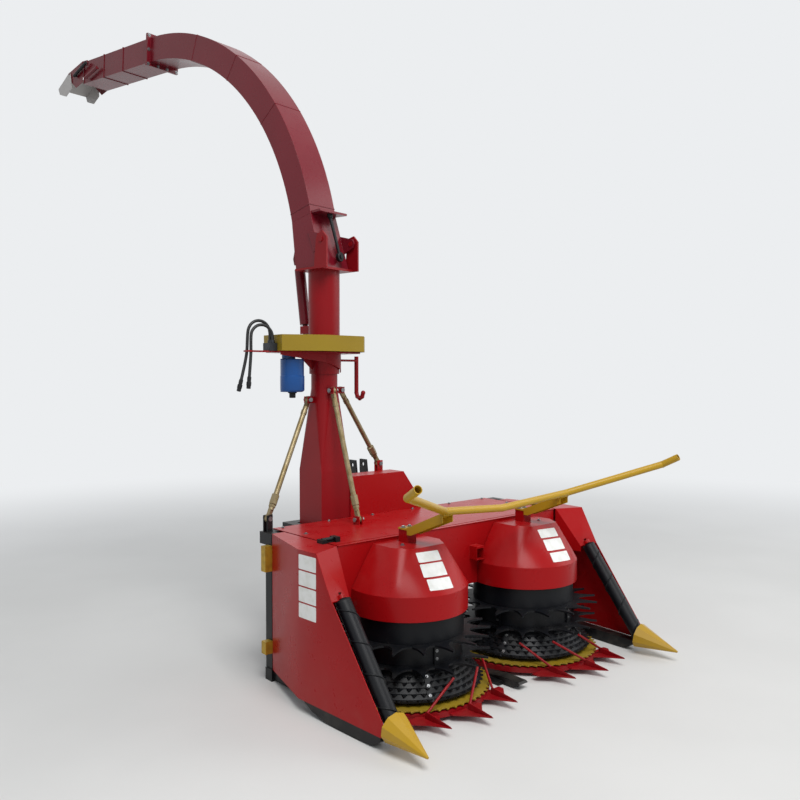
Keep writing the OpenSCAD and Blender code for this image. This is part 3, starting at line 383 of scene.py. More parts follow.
@dataclass(frozen=True)
class NodeDress:
    """Finish and edge radius of the CAD nodes that share them."""

    finish: Enamel | BareMetal
    nodes: tuple[str, ...]
    edge: float = 0.0012
    smooth_deg: float = 32.0
    join_within: float = 0.00002
    flat_weight: int = 80

    def make(self) -> None:
        """Gives each node its material, joined faces and rounded edges."""
        for name in self.nodes:
            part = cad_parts[name]
            part.data.materials.clear()
            part.data.materials.append(material_of(self.finish))
            part.data.polygons.foreach_set("use_smooth", np.ones(len(part.data.polygons), bool))
            weld = part.modifiers.new("join", "WELD")
            weld.merge_threshold = self.join_within
            if self.edge > 0:
                bevel = part.modifiers.new("edge", "BEVEL")
                bevel.width = self.edge
                bevel.segments = 2
                bevel.limit_method = "ANGLE"
                bevel.angle_limit = radians(self.smooth_deg)
                bevel.use_clamp_overlap = True
            shade = part.modifiers.new("shade", "WEIGHTED_NORMAL")
            shade.keep_sharp = True
            shade.weight = self.flat_weight
            LOG.info("dressed %s in %s", name, self.finish.name)


def pair(*stems: str) -> tuple[str, ...]:
    """Names of the left and right nodes of each stem."""
    return tuple(f"{stem}_{side}" for stem in stems for side in ("left", "right"))


def side_name(side: int) -> str:
    """Name of the machine's side whose x has this sign."""
    return "left" if side > 0 else "right"


DRESSES = (
    NodeDress(GLOSS_RED, ("top_cover", "front_wall", "rear_hood", *pair("side_panel", "drum_cover"))),
    NodeDress(
        WELD_RED, ("chopper_housing", "tower", "slew_bracket", "hose_hook", "spout_tube", *pair("cutter_pan"))
    ),
    NodeDress(SPOUT_RED, ("spout_box", "spout_elbow", "spout_end", "lift_barrel", "flap_one")),
    NodeDress(PALE_GREY, ("flap_two",)),
    NodeDress(YELLOW, ("pusher_bar", *pair("tip_cone"))),
    NodeDress(OLIVE, ("slew_guard", *pair("knife_disc"))),
    NodeDress(BLACK_FRAME, ("base_frame", "rear_frame", "intake_channel", "deck_latches")),
    NodeDress(BLACK_DRUM, pair("drum"), edge=0.0007),
    NodeDress(BLACK_DRUM, pair("divider_tube"), edge=0.0),
    NodeDress(CLIP, ("panel_clips",)),
    NodeDress(ZINC, ("stay_front", "stay_left", "stay_right")),
    NodeDress(BLUE, ("slew_motor",)),
    NodeDress(IRON, ("gearbox", "valve_block", *pair("feed_roller"))),
    NodeDress(CHROME, ("input_shaft", "lift_rod")),
)


# Surfaces

# Points in a rounded corner, steps in a curve's span, and metres between the rings of a weld bead
CORNER_POINTS = 5
SPAN_STEPS = 4
BEAD_STEP = 0.004
# A weld bead's ripple: its share of the radius, and radians from ring to ring
RIPPLE = 0.14
RIPPLE_PHASE = 1.9


@dataclass(frozen=True)
class Surface:
    """Faces as arrays: points, the faces' corners one after the other, and each face's corner count."""

    points: Array
    corners: Array
    sizes: Array

    def placed(self, origin: Triple, axis: Triple, turn: float = 0.0) -> Surface:
        """Copies the surface with its Z axis along a direction.

        Args:
            origin: Where the surface's own origin goes.
            axis: Direction of the surface's Z axis.
            turn: Turn about that axis in radians.

        Returns:
            The placed copy.
        """
        z = np.asarray(axis, float) / np.linalg.norm(axis)
        x = np.cross(UP if abs(z[2]) < 0.9 else BACK, z)
        x /= np.linalg.norm(x)
        y = np.cross(z, x)
        x, y = x * cos(turn) + y * sin(turn), y * cos(turn) - x * sin(turn)
        return Basis(np.asarray(origin, float), np.stack([x, y, z])).move(self)


def joined(rows: list[Surface]) -> Surface:
    """Puts several surfaces into one.

    Args:
        rows: The surfaces.

    Returns:
        One surface with all their faces.
    """
    starts = np.cumsum([0] + [len(row.points) for row in rows[:-1]])
    return Surface(
        np.concatenate([row.points for row in rows]),
        np.concatenate([row.corners + start for row, start in zip(rows, starts)]),
        np.concatenate([row.sizes for row in rows]),
    )


def loft(rings: Array) -> Surface:
    """Skins rings of equal point counts and closes both ends.

    Args:
        rings: Array of rings by points by three, each ring anticlockwise seen from the last ring.

    Returns:
        A closed surface.
    """
    count, sides = rings.shape[:2]
    index = np.arange(count * sides).reshape(count, sides)
    after = np.roll(index, -1, axis=1)
    quads = np.stack([index[:-1], after[:-1], after[1:], index[1:]], axis=-1).reshape(-1)
    corners = np.concatenate([quads, index[0, ::-1], index[-1]])
    sizes = np.concatenate([np.full((count - 1) * sides, 4), [sides, sides]])
    return Surface(rings.reshape(-1, 3), corners, sizes)


def lathe(profile: Profile | Array, sides: int) -> Surface:
    """Turns a profile about Z: radius times the turn's cosine and sine, at the profile's height.

    Args:
        profile: Radius and height of each ring, from low to high.
        sides: Sides of each ring; six make a hexagon.

    Returns:
        A closed surface.
    """
    rows = np.asarray(profile, float)
    turn = np.linspace(0.0, 2.0 * pi, sides, endpoint=False)
    ring = np.stack([np.cos(turn), np.sin(turn)], axis=-1)
    flat = rows[:, None, :1] * ring[None]
    high = np.broadcast_to(rows[:, None, 1:], (len(rows), sides, 1))
    return loft(np.concatenate([flat, high], axis=-1))


def slab(outline: Profile, thick: float, edge: float) -> Surface:
    """Extrudes an outline along Z and breaks its upper edge towards the outline's middle.

    Args:
        outline: Plan points, anticlockwise seen from above.
        thick: Height.
        edge: Width and height of the broken edge.

    Returns:
        A closed surface.
    """
    base = np.asarray(outline, float)
    middle = base.mean(axis=0)
    inner = base + (middle - base) * edge / np.linalg.norm(middle - base, axis=1, keepdims=True)
    levels = ((base, 0.0), (base, thick - edge), (inner, thick))
    rings = np.stack([np.column_stack([ring, np.full(len(ring), high)]) for ring, high in levels])
    return loft(rings)


def rounded(width: float, height: float, corner: float) -> Array:
    """Outline of a rectangle about the origin, with a quarter circle in each corner.

    Args:
        width: Size in x.
        height: Size in y.
        corner: Radius of the corners.

    Returns:
        Plan points, anticlockwise.
    """
    turn = np.linspace(0.0, pi / 2.0, CORNER_POINTS)
    arc = corner * np.stack([np.cos(turn), np.sin(turn)], axis=-1)
    inner = np.array([width / 2.0 - corner, height / 2.0 - corner])
    flips = ((1, 1), (-1, 1), (-1, -1), (1, -1))
    parts = [(arc if a * b > 0 else arc[::-1]) * (a, b) + inner * (a, b) for a, b in flips]
    return np.concatenate(parts)


def sweep(path: Array, radius: float | Array, sides: int, side: Triple) -> Surface:
    """Sweeps a circle along a path, each ring square to the path's slope there.

    Args:
        path: Points in a row.
        radius: One radius, or one for each point.
        sides: Sides of the circle.
        side: A direction across the path all along it.

    Returns:
        A closed tube.
    """
    way = np.gradient(path, axis=0)
    way /= np.linalg.norm(way, axis=1, keepdims=True)
    across = np.asarray(side, float) - way * (way @ np.asarray(side, float))[:, None]
    across /= np.linalg.norm(across, axis=1, keepdims=True)
    other = np.cross(way, across)
    turn = np.linspace(0.0, 2.0 * pi, sides, endpoint=False)[None, :, None]
    wide = np.broadcast_to(np.asarray(radius, float), (len(path),))[:, None, None]
    return loft(path[:, None] + wide * (np.cos(turn) * across[:, None] + np.sin(turn) * other[:, None]))


def smooth(points: Points) -> Array:
    """Runs a cubic through each span; its slope at a point is half the chord between that point's neighbours.

    Args:
        points: Points that the curve passes.

    Returns:
        Points of the curve.
    """
    rows = np.asarray(points, float)
    padded = np.concatenate([[2 * rows[0] - rows[1]], rows, [2 * rows[-1] - rows[-2]]])
    before, start, end, after = padded[:-3], padded[1:-2], padded[2:-1], padded[3:]
    t = (np.arange(SPAN_STEPS) / SPAN_STEPS)[None, :, None]
    parts = (
        start[:, None]
        + 0.5 * t * (end - before)[:, None]
        + t**2 * (before - 2.5 * start + 2.0 * end - 0.5 * after)[:, None]
        + 0.5 * t**3 * (after - before + 3.0 * (start - end))[:, None]
    )
    return np.concatenate([parts.reshape(-1, 3), rows[-1:]])


def along(points: Array) -> Array:
    """Distance of each point from the first, measured along their line."""
    return np.concatenate([[0.0], np.cumsum(np.linalg.norm(np.diff(points, axis=0), axis=1))])


def at_marks(points: Array, marks: Array) -> Array:
    """Places at given distances along a line of points."""
    return np.stack([np.interp(marks, along(points), column) for column in points.T], axis=-1)


def linked(name: str, data: bpy.types.ID) -> Object:
    """Makes an object and puts it into the scene.

    Args:
        name: Object name.
        data: Its mesh, camera or light.

    Returns:
        The object, at the origin.
    """
    thing = bpy.data.objects.new(name, data)
    bpy.context.scene.collection.objects.link(thing)
    return thing


@dataclass
class Piece:
    """A modelled piece that rides on one body of the machine."""

    name: str
    body: str
    finish: Finish
    smooth_deg: float = 30.0

    def make(self, surfaces: list[Surface]) -> Object:
        """Makes the object from its surfaces.

        Args:
            surfaces: Closed surfaces in the row frame.

        Returns:
            The new object, at the origin.
        """
        shape = joined(surfaces)
        mesh = bpy.data.meshes.new(self.name)
        mesh.vertices.add(len(shape.points))
        mesh.vertices.foreach_set("co", shape.points.astype(np.float32).ravel())
        mesh.loops.add(len(shape.corners))
        mesh.loops.foreach_set("vertex_index", shape.corners.astype(np.int32))
        mesh.polygons.add(len(shape.sizes))
        starts = np.concatenate([[0], np.cumsum(shape.sizes)[:-1]])
        mesh.polygons.foreach_set("loop_start", starts.astype(np.int32))
        mesh.update(calc_edges=True)
        mesh.validate()
        mesh.shade_smooth()
        mesh.set_sharp_from_angle(angle=radians(self.smooth_deg))
        mesh.materials.append(material_of(self.finish))
        thing = linked(self.name, mesh)
        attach(thing, self.body)
        LOG.info("modelled %s with %d faces", self.name, len(shape.sizes))
        return thing


# Small shared forms


@dataclass(frozen=True)
class Basis:
    """A local frame in the row frame: an origin and three unit directions as rows."""

    origin: Array
    rows: Array

    def at(self, x: float, y: float, z: float) -> Array:
        """Row-frame place of a local point."""
        return self.origin + self.way(x, y, z)

    def way(self, x: float, y: float, z: float) -> Array:
        """Row-frame direction of a local direction."""
        return np.array([x, y, z]) @ self.rows

    def move(self, surface: Surface) -> Surface:
        """Carries a surface made in local coordinates into the row frame."""
        return Surface(surface.points @ self.rows + self.origin, surface.corners, surface.sizes)


# Bolt head and washer: radius and height as shares of the width over two flats
WASHER = np.array([(1.12, 0.0), (1.12, 0.14), (0.6, 0.16)])
HEAD_R = 1.0 / sqrt(3.0)
HEAD = np.array([(HEAD_R, 0.1), (HEAD_R, 0.6), (0.86 * HEAD_R, 0.72)])


def bolt(across: float) -> Surface:
    """Hexagon bolt head on a washer, seated on z = 0; across is the width over two flats."""
    return joined([lathe(across * WASHER, 20), lathe(across * HEAD, 6)])


def bolts(across: float, places: Iterable[Triple], axis: Triple) -> list[Surface]:
    """Bolt heads of one size that look the same way; each is turned a little more than the one before."""
    return [bolt(across).placed(place, axis, 0.3 + 0.7 * k) for k, place in enumerate(places)]


def nut_pin(radius: float, half: float, place: Triple, axis: Triple) -> Surface:
    """Pin through a fork with a flat head on one end and a hexagon nut on the other.

    Args:
        radius: Radius of the pin.
        half: Half of the fork's width.
        place: Middle of the pin.
        axis: Direction from the head to the nut.

    Returns:
        The pin with its head and nut.
    """
    rim = 1.7 * radius
    shaft = lathe([(rim, -half - 0.35 * rim), (rim, -half), (radius, -half), (radius, half + 0.9 * rim)], 20)
    nut = lathe([(rim, half), (rim, half + 0.62 * rim), (0.84 * rim, half + 0.7 * rim)], 6)
    return joined([shaft, nut]).placed(place, axis)


def bead(points: Points, radius: float, side: Triple) -> Surface:
    """Weld bead along a bent line: a swept circle whose radius ripples.

    Args:
        points: Ends and corners of the line.
        radius: Half of the bead's width.
        side: A direction across the line.

    Returns:
        The bead's closed surface.
    """
    rows = np.asarray(points, float)
    length = along(rows)[-1]
    marks = np.linspace(0.0, length, int(length / BEAD_STEP))
    ripple = 1.0 + RIPPLE * np.sin(marks / BEAD_STEP * RIPPLE_PHASE)
    return sweep(at_marks(rows, marks), radius * ripple, 8, side)


# Driving dimensions, in metres, and the local frames that they give

# Drums with the rings on their shells, and the drum covers: cap, shoulder, rounded nose and post
DRUM_X = 0.424
DRUM_SHELL = 0.264
DRUM_FLARE = 0.352
DRUM_BASE = 0.076
DRUM_KNEE = 0.192
DRUM_RINGS = (0.209, 0.300)
CAP_Z = 0.722
SHOULDER_Z = 0.527
COVER_R = 0.292
POST_TOP = 0.783
CAP_NOSE = 0.150
CAP_NOSE_HALF = 0.100
# Deck, tower pipe, guard and slew motor
DECK_Z = 0.739
TOWER_X = -0.383
TOWER_Y = 0.744
PIPE_R = 0.0725
GUARD_Z = 1.650
MOTOR_PLACE = (-0.600, 0.7315)
MOTOR_LOW = 1.4335
# Spout: its turn at rest, its duct, the bend on from its foot, the end section and the first flap's droop
SLEW_REST = radians(8.0)
DUCT_W = 0.189
DUCT_D = 0.157
BEND_R = 1.748
BEND_START = radians(12.3)
BEND_FOOT = (0.0031, 2.401)
END_RISE = radians(4.5)
END_LEN = 0.9
FLAP_TILT = radians(14.0)
# Hinge box, lift pin and front lug plate
BOX_W = 0.215
LIFT_S = 0.108
LIFT_Z = 2.245
FRONT_LUG_Z = 2.403

# The bend's centre in the spout's frame
BEND_S = BEND_FOOT[0] + BEND_R * cos(BEND_START)
BEND_Z = BEND_FOOT[1] - BEND_R * sin(BEND_START)

SPOUT = Basis(
    np.array([TOWER_X, TOWER_Y, 0.0]),
    np.array([
        [cos(SLEW_REST), sin(SLEW_REST), 0.0],
        [-sin(SLEW_REST), cos(SLEW_REST), 0.0],
        [0.0, 0.0, 1.0],
    ]),
)


def tilted(base: Basis, place: Triple, rise: float) -> Basis:
    """Frame at a place inside another, its Y raised towards Z by an angle in radians."""
    turn = np.array([[1, 0, 0], [0, cos(rise), sin(rise)], [0, -sin(rise), cos(rise)]])
    return Basis(base.at(*place), turn @ base.rows)


ELBOW_END = pi / 2.0 - END_RISE
END_START = tilted(
    SPOUT, (0.0, BEND_S - BEND_R * cos(ELBOW_END), BEND_Z + BEND_R * sin(ELBOW_END)), END_RISE
)


# Modelled pieces


@dataclass(frozen=True)
class DrumBolts:
    """Bolts on a drum's strips: two on each upright strip and three on each strip down the flare."""

    side: int
    across: float = 0.0065
    strips: int = 4
    first_deg: float = 12.0
    flare_turn_deg: float = 12.0
    upright_out: float = 0.010
    upright_shares: tuple[float, ...] = (0.3, 0.7)
    flare_shares: tuple[float, ...] = (0.2, 0.5, 0.8)
    flare_low: tuple[float, float] = (DRUM_FLARE + 0.007, DRUM_BASE + 0.004)
    flare_high: tuple[float, float] = (DRUM_SHELL + 0.011, DRUM_KNEE + 0.002)

    def make(self) -> None:
        """Makes the drum's bolts as one piece that turns with the drum."""
        rows: list[Surface] = []
        low, high = np.array(self.flare_low), np.array(self.flare_high)
        slope = (high - low) / np.linalg.norm(high - low)
        for k in range(self.strips):
            upright = radians(self.first_deg + 360.0 / self.strips * k)
            for share in self.upright_shares:
                z = DRUM_RINGS[0] + share * (DRUM_RINGS[1] - DRUM_RINGS[0])
                spot = self._spot(upright, DRUM_SHELL + self.upright_out, z)
                rows += bolts(self.across, [spot], self._way(upright, 1.0, 0.0))
            flare = upright + radians(self.flare_turn_deg)
            for share in self.flare_shares:
                r, z = low + share * (high - low)
                rows += bolts(self.across, [self._spot(flare, r, z)], self._way(flare, slope[1], -slope[0]))
        name = side_name(self.side)
        Piece(f"drum_bolts_{name}", f"drum_{name}", PLATED).make(rows)

    def _spot(self, angle: float, r: float, z: float) -> Point:
        """Place at an angle, a radius and a height about the drum's axis."""
        return self.side * (DRUM_X + r * cos(angle)), r * sin(angle), z

    def _way(self, angle: float, out: float, up: float) -> Point:
        """Direction at an angle, from its outward and upward parts."""
        return self.side * out * cos(angle), out * sin(angle), up


@dataclass(frozen=True)
class Hose:
    """Free oil hose on a given route, with a ferrule and a coupling at its end.

    The route holds x and z; the fitting holds radius and distance past the hose's end.
    """

    name: str
    y: float
    route: Profile
    radius: float = 0.008
    gap: float = 0.0003
    fitting: Profile = (
        (0.0095, 0.0), (0.0105, 0.001), (0.0105, 0.02), (0.0098, 0.021), (0.0098, 0.024),
        (0.0105, 0.025), (0.0125, 0.027), (0.0125, 0.044), (0.011, 0.046), (0.011, 0.0605), (0.0075, 0.062),
    )

    def make(self) -> None:
        path = smooth([(x, self.y, z) for x, z in self.route])
        hose = Piece(f"oil_{self.name}", "chassis", RUBBER, smooth_deg=60.0)
        tube = hose.make([sweep(path, self.radius, 20, BACK)])
        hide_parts(self.name)
        end, way = path[-1], path[-1] - path[-2]
        way /= np.linalg.norm(way)
        plug = Piece(f"oil_{self.name}_coupling", "chassis", PHOSPHATE).make(
            [lathe(self.fitting, 24).placed(end + self.gap * way, way)]
        )
        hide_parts("hose_ends")


HOSES = (Hose("hose_a", 0.736, (
    (-0.735, 1.704), (-0.735, 1.740), (-0.740, 1.765), (-0.754, 1.786), (-0.775, 1.800),
    (-0.800, 1.805), (-0.825, 1.800), (-0.846, 1.786), (-0.860, 1.765), (-0.866, 1.740),
    (-0.869, 1.700), (-0.872, 1.646), (-0.880, 1.600), (-0.892, 1.550), (-0.905, 1.500),
)), Hose("hose_b", 0.712, (
    (-0.734, 1.704), (-0.734, 1.720), (-0.739, 1.744), (-0.753, 1.764), (-0.774, 1.778),
    (-0.798, 1.782), (-0.822, 1.778), (-0.843, 1.764), (-0.857, 1.744), (-0.861, 1.720),
    (-0.862, 1.690), (-0.862, 1.646), (-0.864, 1.610), (-0.868, 1.560), (-0.872, 1.515),
)))


@dataclass(frozen=True)
class SpoutDetails:
    """Weld seams round the bend and the bolts on both faces of its flange."""

    seam_degs: tuple[float, ...] = (14.0, 36.0, 52.5, 67.5)
    seam_r: float = 0.0022
    bolt_across: float = 0.010
    bolt_out: float = 0.0135
    inner_bolt: float = 0.034
    flange_half: float = 0.010

    def make(self) -> None:
        """Makes the seams and the bolts."""
        seams = [self._seam(radians(angle)) for angle in self.seam_degs]
        Piece("spout_seams", "spout", SPOUT_RED, smooth_deg=60.0).make(seams)
        half = DUCT_W / 2.0 + self.bolt_out
        levels = (self.bolt_out, -DUCT_D - self.bolt_out)
        places = [(x, z) for z in levels for x in (-half, -self.inner_bolt, self.inner_bolt, half)]
        places += [(x, -DUCT_D / 2.0) for x in (-half, half)]
        heads: list[Surface] = []
        for way in (-1.0, 1.0):
            spots = [END_START.at(x, way * self.flange_half, z) for x, z in places]
            heads += bolts(self.bolt_across, spots, END_START.way(0.0, way, 0.0))
        Piece("spout_flange_bolts", "spout", PLATED).make(heads)

    def _seam(self, angle: float) -> Surface:
        """Bead round the duct where a ray from the bend's centre cuts it.

        Args:
            angle: Angle of the ray in radians.

        Returns:
            The bead.
        """
        out = np.array([-cos(angle), sin(angle)])
        corners = []
        for x, r in ((-1, 0), (-1, 1), (1, 1), (1, 0), (-1, 0)):
            s, z = np.array([BEND_S, BEND_Z]) + out * (BEND_R - DUCT_D * (1 - r))
            corners.append(SPOUT.at(x * DUCT_W / 2.0, s, z))
        return bead(corners, self.seam_r, SPOUT.way(0.3, sin(angle), cos(angle)))


@dataclass(frozen=True)
class PanelLabels:
    """Blank white vinyl sheets one below the other on the right side panel."""

    first: Point = (-0.9613, 0.0632, 0.686)
    last: Point = (-0.9613, 0.0632, 0.467)
    facing: Point = (-0.99863, -0.05228, 0.0)
    count: int = 4
    width: float = 0.126
    height: float = 0.066
    corner: float = 0.004
    thick: float = 0.0003
    edge: float = 0.0001

    def make(self) -> None:
        """Makes the sheets, evenly spaced from the first place to the last."""
        sheet = slab(rounded(self.width, self.height, self.corner), self.thick, self.edge)
        spots = np.linspace(self.first, self.last, self.count)
        rows = [sheet.placed(spot, self.facing) for spot in spots]
        Piece("panel_labels", "chassis", VINYL).make(rows)


@dataclass(frozen=True)
class CoverLabels:
    """Blank white vinyl sheets down the front of a drum cover, laid on its folded faces.

    Each row holds the sheet's place across the cover, its height, and its width and length.
    """

    side: int
    rows: tuple[tuple[float, float, float, float], ...]
    turn_deg: float = 2.5
    corner: float = 0.004
    gap: float = 0.0001
    thick: float = 0.0006
    rim_points: int = 160
    rings: int = 14

    def make(self) -> None:
        """Makes the cover's labels as one piece."""
        name = f"cover_labels_{side_name(self.side)}"
        sheets = [self._sheet(*row) for row in self.rows]
        Piece(name, "chassis", VINYL, smooth_deg=45.0).make(sheets)

    def _sheet(self, across: float, high: float, width: float, length: float) -> Surface:
        """One sheet as rings that grow out along its back, pass over its rim and shrink along its front.

        Args:
            across, high, width, length: A row's numbers.

        Returns:
            The sheet.
        """
        corners = rounded(width, length, self.corner)
        closed = np.vstack([corners, corners[:1]])
        rim = at_marks(closed, np.linspace(0.0, along(closed)[-1], self.rim_points, endpoint=False))
        turn = radians(self.turn_deg)
        rim = rim @ np.array([[cos(turn), -sin(turn)], [sin(turn), cos(turn)]])
        shares = np.linspace(0.04, 1.0, self.rings)
        levels = [(share, self.gap) for share in shares] + [(share, self.thick) for share in shares[::-1]]
        rings = [self._on_cover(share * rim + (across, 0.0), high, lift) for share, lift in levels]
        return loft(np.stack(rings))

    def _on_cover(self, plan: Array, high: float, lift: float) -> Array:
        """Lays points on the cover, a ridge that narrows to its cap with half a cone on each end.

        Args:
            plan: Points of the sheet's plan; the second column runs up the slope.
            high: Height of the plan's origin.
            lift: Distance off the cover.

        Returns:
            The points in place.
        """
        run = COVER_R - CAP_NOSE
        rise = CAP_Z - SHOULDER_Z
        slope = hypot(run, rise)
        z = high + plan[:, 1] * rise / slope
        share = (z - SHOULDER_Z) / rise
        past = np.maximum(np.abs(plan[:, 0]) - CAP_NOSE_HALF * share, 0.0)
        y = -CAP_NOSE * share - np.sqrt(((1.0 - share) * COVER_R) ** 2 - past**2)
        x = self.side * DRUM_X + plan[:, 0]
        return np.stack([x, y - lift * rise / slope, z + lift * run / slope], axis=-1)


COVER_LABELS = (
    CoverLabels(-1, (
        (-0.026, 0.683, 0.136, 0.050), (-0.029, 0.629, 0.136, 0.066), (-0.026, 0.571, 0.132, 0.056),
    )),
    CoverLabels(1, (
        (-0.008, 0.681, 0.138, 0.050), (-0.005, 0.626, 0.140, 0.064), (-0.003, 0.568, 0.136, 0.054),
    )),
)


@dataclass(frozen=True)
class BarWebs:
    """Folded edges under the pusher bar's two foot plates, outlined in y and z from the post to the bar."""

    outline: Profile = ((-0.034, 0.788), (-0.034, 0.762), (-0.060, 0.762), (-0.278, 0.852), (-0.278, 0.890))
    half: float = 0.034
    thick: float = 0.004
    edge: float = 0.0006

    def make(self) -> None:
        """Makes the four folded edges as one piece; each is cut flat and stood up across x."""
        sheet = slab([(z, -y) for y, z in self.outline], self.thick, self.edge)
        stood = np.array([[0.0, 0.0, 1.0], [0.0, -1.0, 0.0], [1.0, 0.0, 0.0]])
        starts = [side * DRUM_X + inner for side in (-1, 1) for inner in (-self.half, self.half - self.thick)]
        rows = [Basis(np.array([x, 0.0, 0.0]), stood).move(sheet) for x in starts]
        Piece("bar_webs", "chassis", YELLOW).make(rows)


@dataclass(frozen=True)
class SlewMotorShell:
    """Wide cast housing of the slew motor and the plug under it, each turned from radii and heights."""

    housing: Profile = (
        (0.0545, 0.0), (0.0615, 0.005), (0.0645, 0.011), (0.0645, 0.084), (0.062, 0.087), (0.062, 0.171),
        (0.0585, 0.176),
    )
    plug: Profile = ((0.014, -0.032), (0.017, -0.029), (0.017, -0.008), (0.024, -0.006), (0.024, 0.0005))

    def make(self) -> None:
        """Makes the housing and the plug."""
        shell, plug = (
            lathe(form, sides).placed((*MOTOR_PLACE, MOTOR_LOW), UP)
            for form, sides in ((self.housing, 48), (self.plug, 24))
        )
        Piece("slew_motor_shell", "chassis", BLUE).make([shell])
        Piece("slew_motor_plug", "chassis", PHOSPHATE).make([plug])


@dataclass(frozen=True)
class LiftHinge:
    """Front lug plate on the hinge box, the strut from it to the pin's eye, and the left hinge pin's head."""

    plate: Profile = ((-0.098, -0.076), (0.103, -0.076), (0.092, 0.004), (-0.090, 0.004))
    plate_thick: float = 0.012
    plate_edge: float = 0.001
    strut_r: float = 0.009
    strut_top: Point = (0.0, -0.045, FRONT_LUG_Z)
    strut_low: Point = (0.025, -0.100, 2.167)
    cap: Profile = ((0.015, 0.0), (0.015, 0.020), (0.011, 0.026))
    eye: Profile = ((0.024, -0.010), (0.026, -0.008), (0.026, 0.008), (0.024, 0.010))
    boss: Profile = ((0.012, -0.016), (0.012, 0.016))
    pin: Profile = ((0.010, 0.0), (0.010, 0.012), (0.019, 0.012), (0.019, 0.019), (0.016, 0.021))
    pin_out: float = 0.012

    def make(self) -> None:
        """Makes the plate, the strut and the pin's head on the spout."""
        plate = slab(self.plate, self.plate_thick, self.plate_edge)
        raised = tilted(SPOUT, (0.0, 0.0, FRONT_LUG_Z), 0.0).move(plate)
        Piece("front_lug", "spout", SPOUT_RED).make([raised])
        top, low = SPOUT.at(*self.strut_top), SPOUT.at(*self.strut_low)
        rod = [(self.strut_r, -0.002), (self.strut_r, np.linalg.norm(low - top))]
        strut = [lathe(form, 20).placed(top, low - top) for form in (rod, self.cap)]
        facing = SPOUT.way(0.15, -1.0, 0.0)
        strut += [lathe(self.eye, 28).placed(low, facing), lathe(self.boss, 20).placed(low, facing)]
        Piece("front_strut", "spout", PHOSPHATE).make(strut)
        place = SPOUT.at(BOX_W / 2.0 + self.pin_out, -LIFT_S, LIFT_Z)
        pin = lathe(self.pin, 24).placed(place, SPOUT.way(1.0, 0.0, 0.0))
        Piece("hinge_pin_head", "spout", PHOSPHATE).make([pin])


@dataclass(frozen=True)
class FlapLinks:
    """Black strut along the first flap's right cheek and the red bar on the end section that it is set with.

    The strut and the bar hold y and z of both their ends, on the flap and on the end section.
    """

    hinge: Point = (0.0, END_LEN + 0.012, -0.008)
    strut: Profile = ((-0.074, -0.036), (0.095, -0.0585))
    bar: Profile = ((0.665, -0.088), (0.820, -0.130))
    across: float = -0.119
    radius: float = 0.011
    past_bolt: float = 0.008
    bolt_r: float = 0.006
    cheek_out: float = 0.0095

    def make(self) -> None:
        """Makes the strut on the flap and the bar on the end section."""
        strut = self._rod(tilted(END_START, self.hinge, -FLAP_TILT), self.strut)
        Piece("flap_strut", "flap_one", PHOSPHATE).make(strut)
        Piece("flap_bar", "spout", SPOUT_RED).make(self._rod(END_START, self.bar))

    def _rod(self, base: Basis, ends: Profile) -> list[Surface]:
        """A rod beside the cheek with a bolt through each end into it.

        Args:
            base: Frame of the duct or flap.
            ends: Its two ends' y and z.

        Returns:
            The rod and its bolts.
        """
        first, last = (base.at(self.across, *end) for end in ends)
        way = last - first
        reach = np.linalg.norm(way) + self.past_bolt
        body = lathe([(self.radius, -self.past_bolt), (self.radius, reach)], 20).placed(first, way)
        depth = abs(self.across) - DUCT_W / 2.0 - self.cheek_out
        stud = lathe([(self.bolt_r, 0.0), (self.bolt_r, depth)], 16)
        return [body, *(stud.placed(place, base.way(1.0, 0.0, 0.0)) for place in (first, last))]


@dataclass(frozen=True)
class BracketSkirt:
    """Wedge of bent plate under the slew bracket's front edge that wraps the tower's collar."""

    radius: float = 0.0875
    thick: float = 0.005
    top: float = GUARD_Z - 0.0078
    turn_degs: tuple[float, float] = (-118.0, -22.0)
    arm_end: tuple[float, float] = (-0.325, -0.066)
    arm_low: float = 1.630
    collar_lows: tuple[float, float] = (1.592, 1.537)
    points: int = 33

    def make(self) -> None:
        """Makes the plate: straight from the arm's end to the collar, then on an arc round it."""
        turn = np.radians(np.linspace(*self.turn_degs, self.points))
        ways = np.stack([np.cos(turn), np.sin(turn)], axis=-1)
        plan = np.vstack([self.arm_end, self.radius * ways]) + (TOWER_X, TOWER_Y)
        outer = plan + self.thick * np.vstack([[-0.04, -1.0], ways])
        low = np.concatenate([[self.arm_low], np.linspace(*self.collar_lows, self.points)])
        high = np.full_like(low, self.top)
        rings = ((plan, low), (plan, high), (outer, high), (outer, low))
        section = np.stack([np.column_stack(ring) for ring in rings], axis=1)
        Piece("bracket_skirt", "chassis", WELD_RED, smooth_deg=20.0).make([loft(section)])


@dataclass(frozen=True)
class Stay:
    """Fittings of one stay: sleeve and lock nut near the foot, collar near the head, pins in both forks.

    All hold radius and distance: the sleeve and the lock nut from the foot, the collar back from the head.
    """

    name: str
    foot: Point
    head: Point
    pin: Point
    sleeve: Profile = ((0.0185, 0.075), (0.021, 0.077), (0.021, 0.128), (0.0185, 0.130))
    nut: Profile = ((0.019, 0.061), (0.019, 0.073))
    collar: Profile = ((0.0165, 0.09), (0.0165, 0.07))
    pin_r: float = 0.007
    fork_half: float = 0.023

    def make(self) -> None:
        """Makes the fittings and the pins, one piece each."""
        foot, head = np.asarray(self.foot), np.asarray(self.head)
        length = np.linalg.norm(head - foot)
        collar = [(r, length - back) for r, back in self.collar]
        forms = ((self.sleeve, 6), (self.nut, 6), (collar, 24))
        rows = [lathe(form, sides).placed(foot, head - foot) for form, sides in forms]
        Piece(f"{self.name}_fittings", "chassis", ZINC).make(rows)
        pins = [nut_pin(self.pin_r, self.fork_half, place, self.pin) for place in (foot, head)]
        Piece(f"{self.name}_pins", "chassis", PLATED).make(pins)


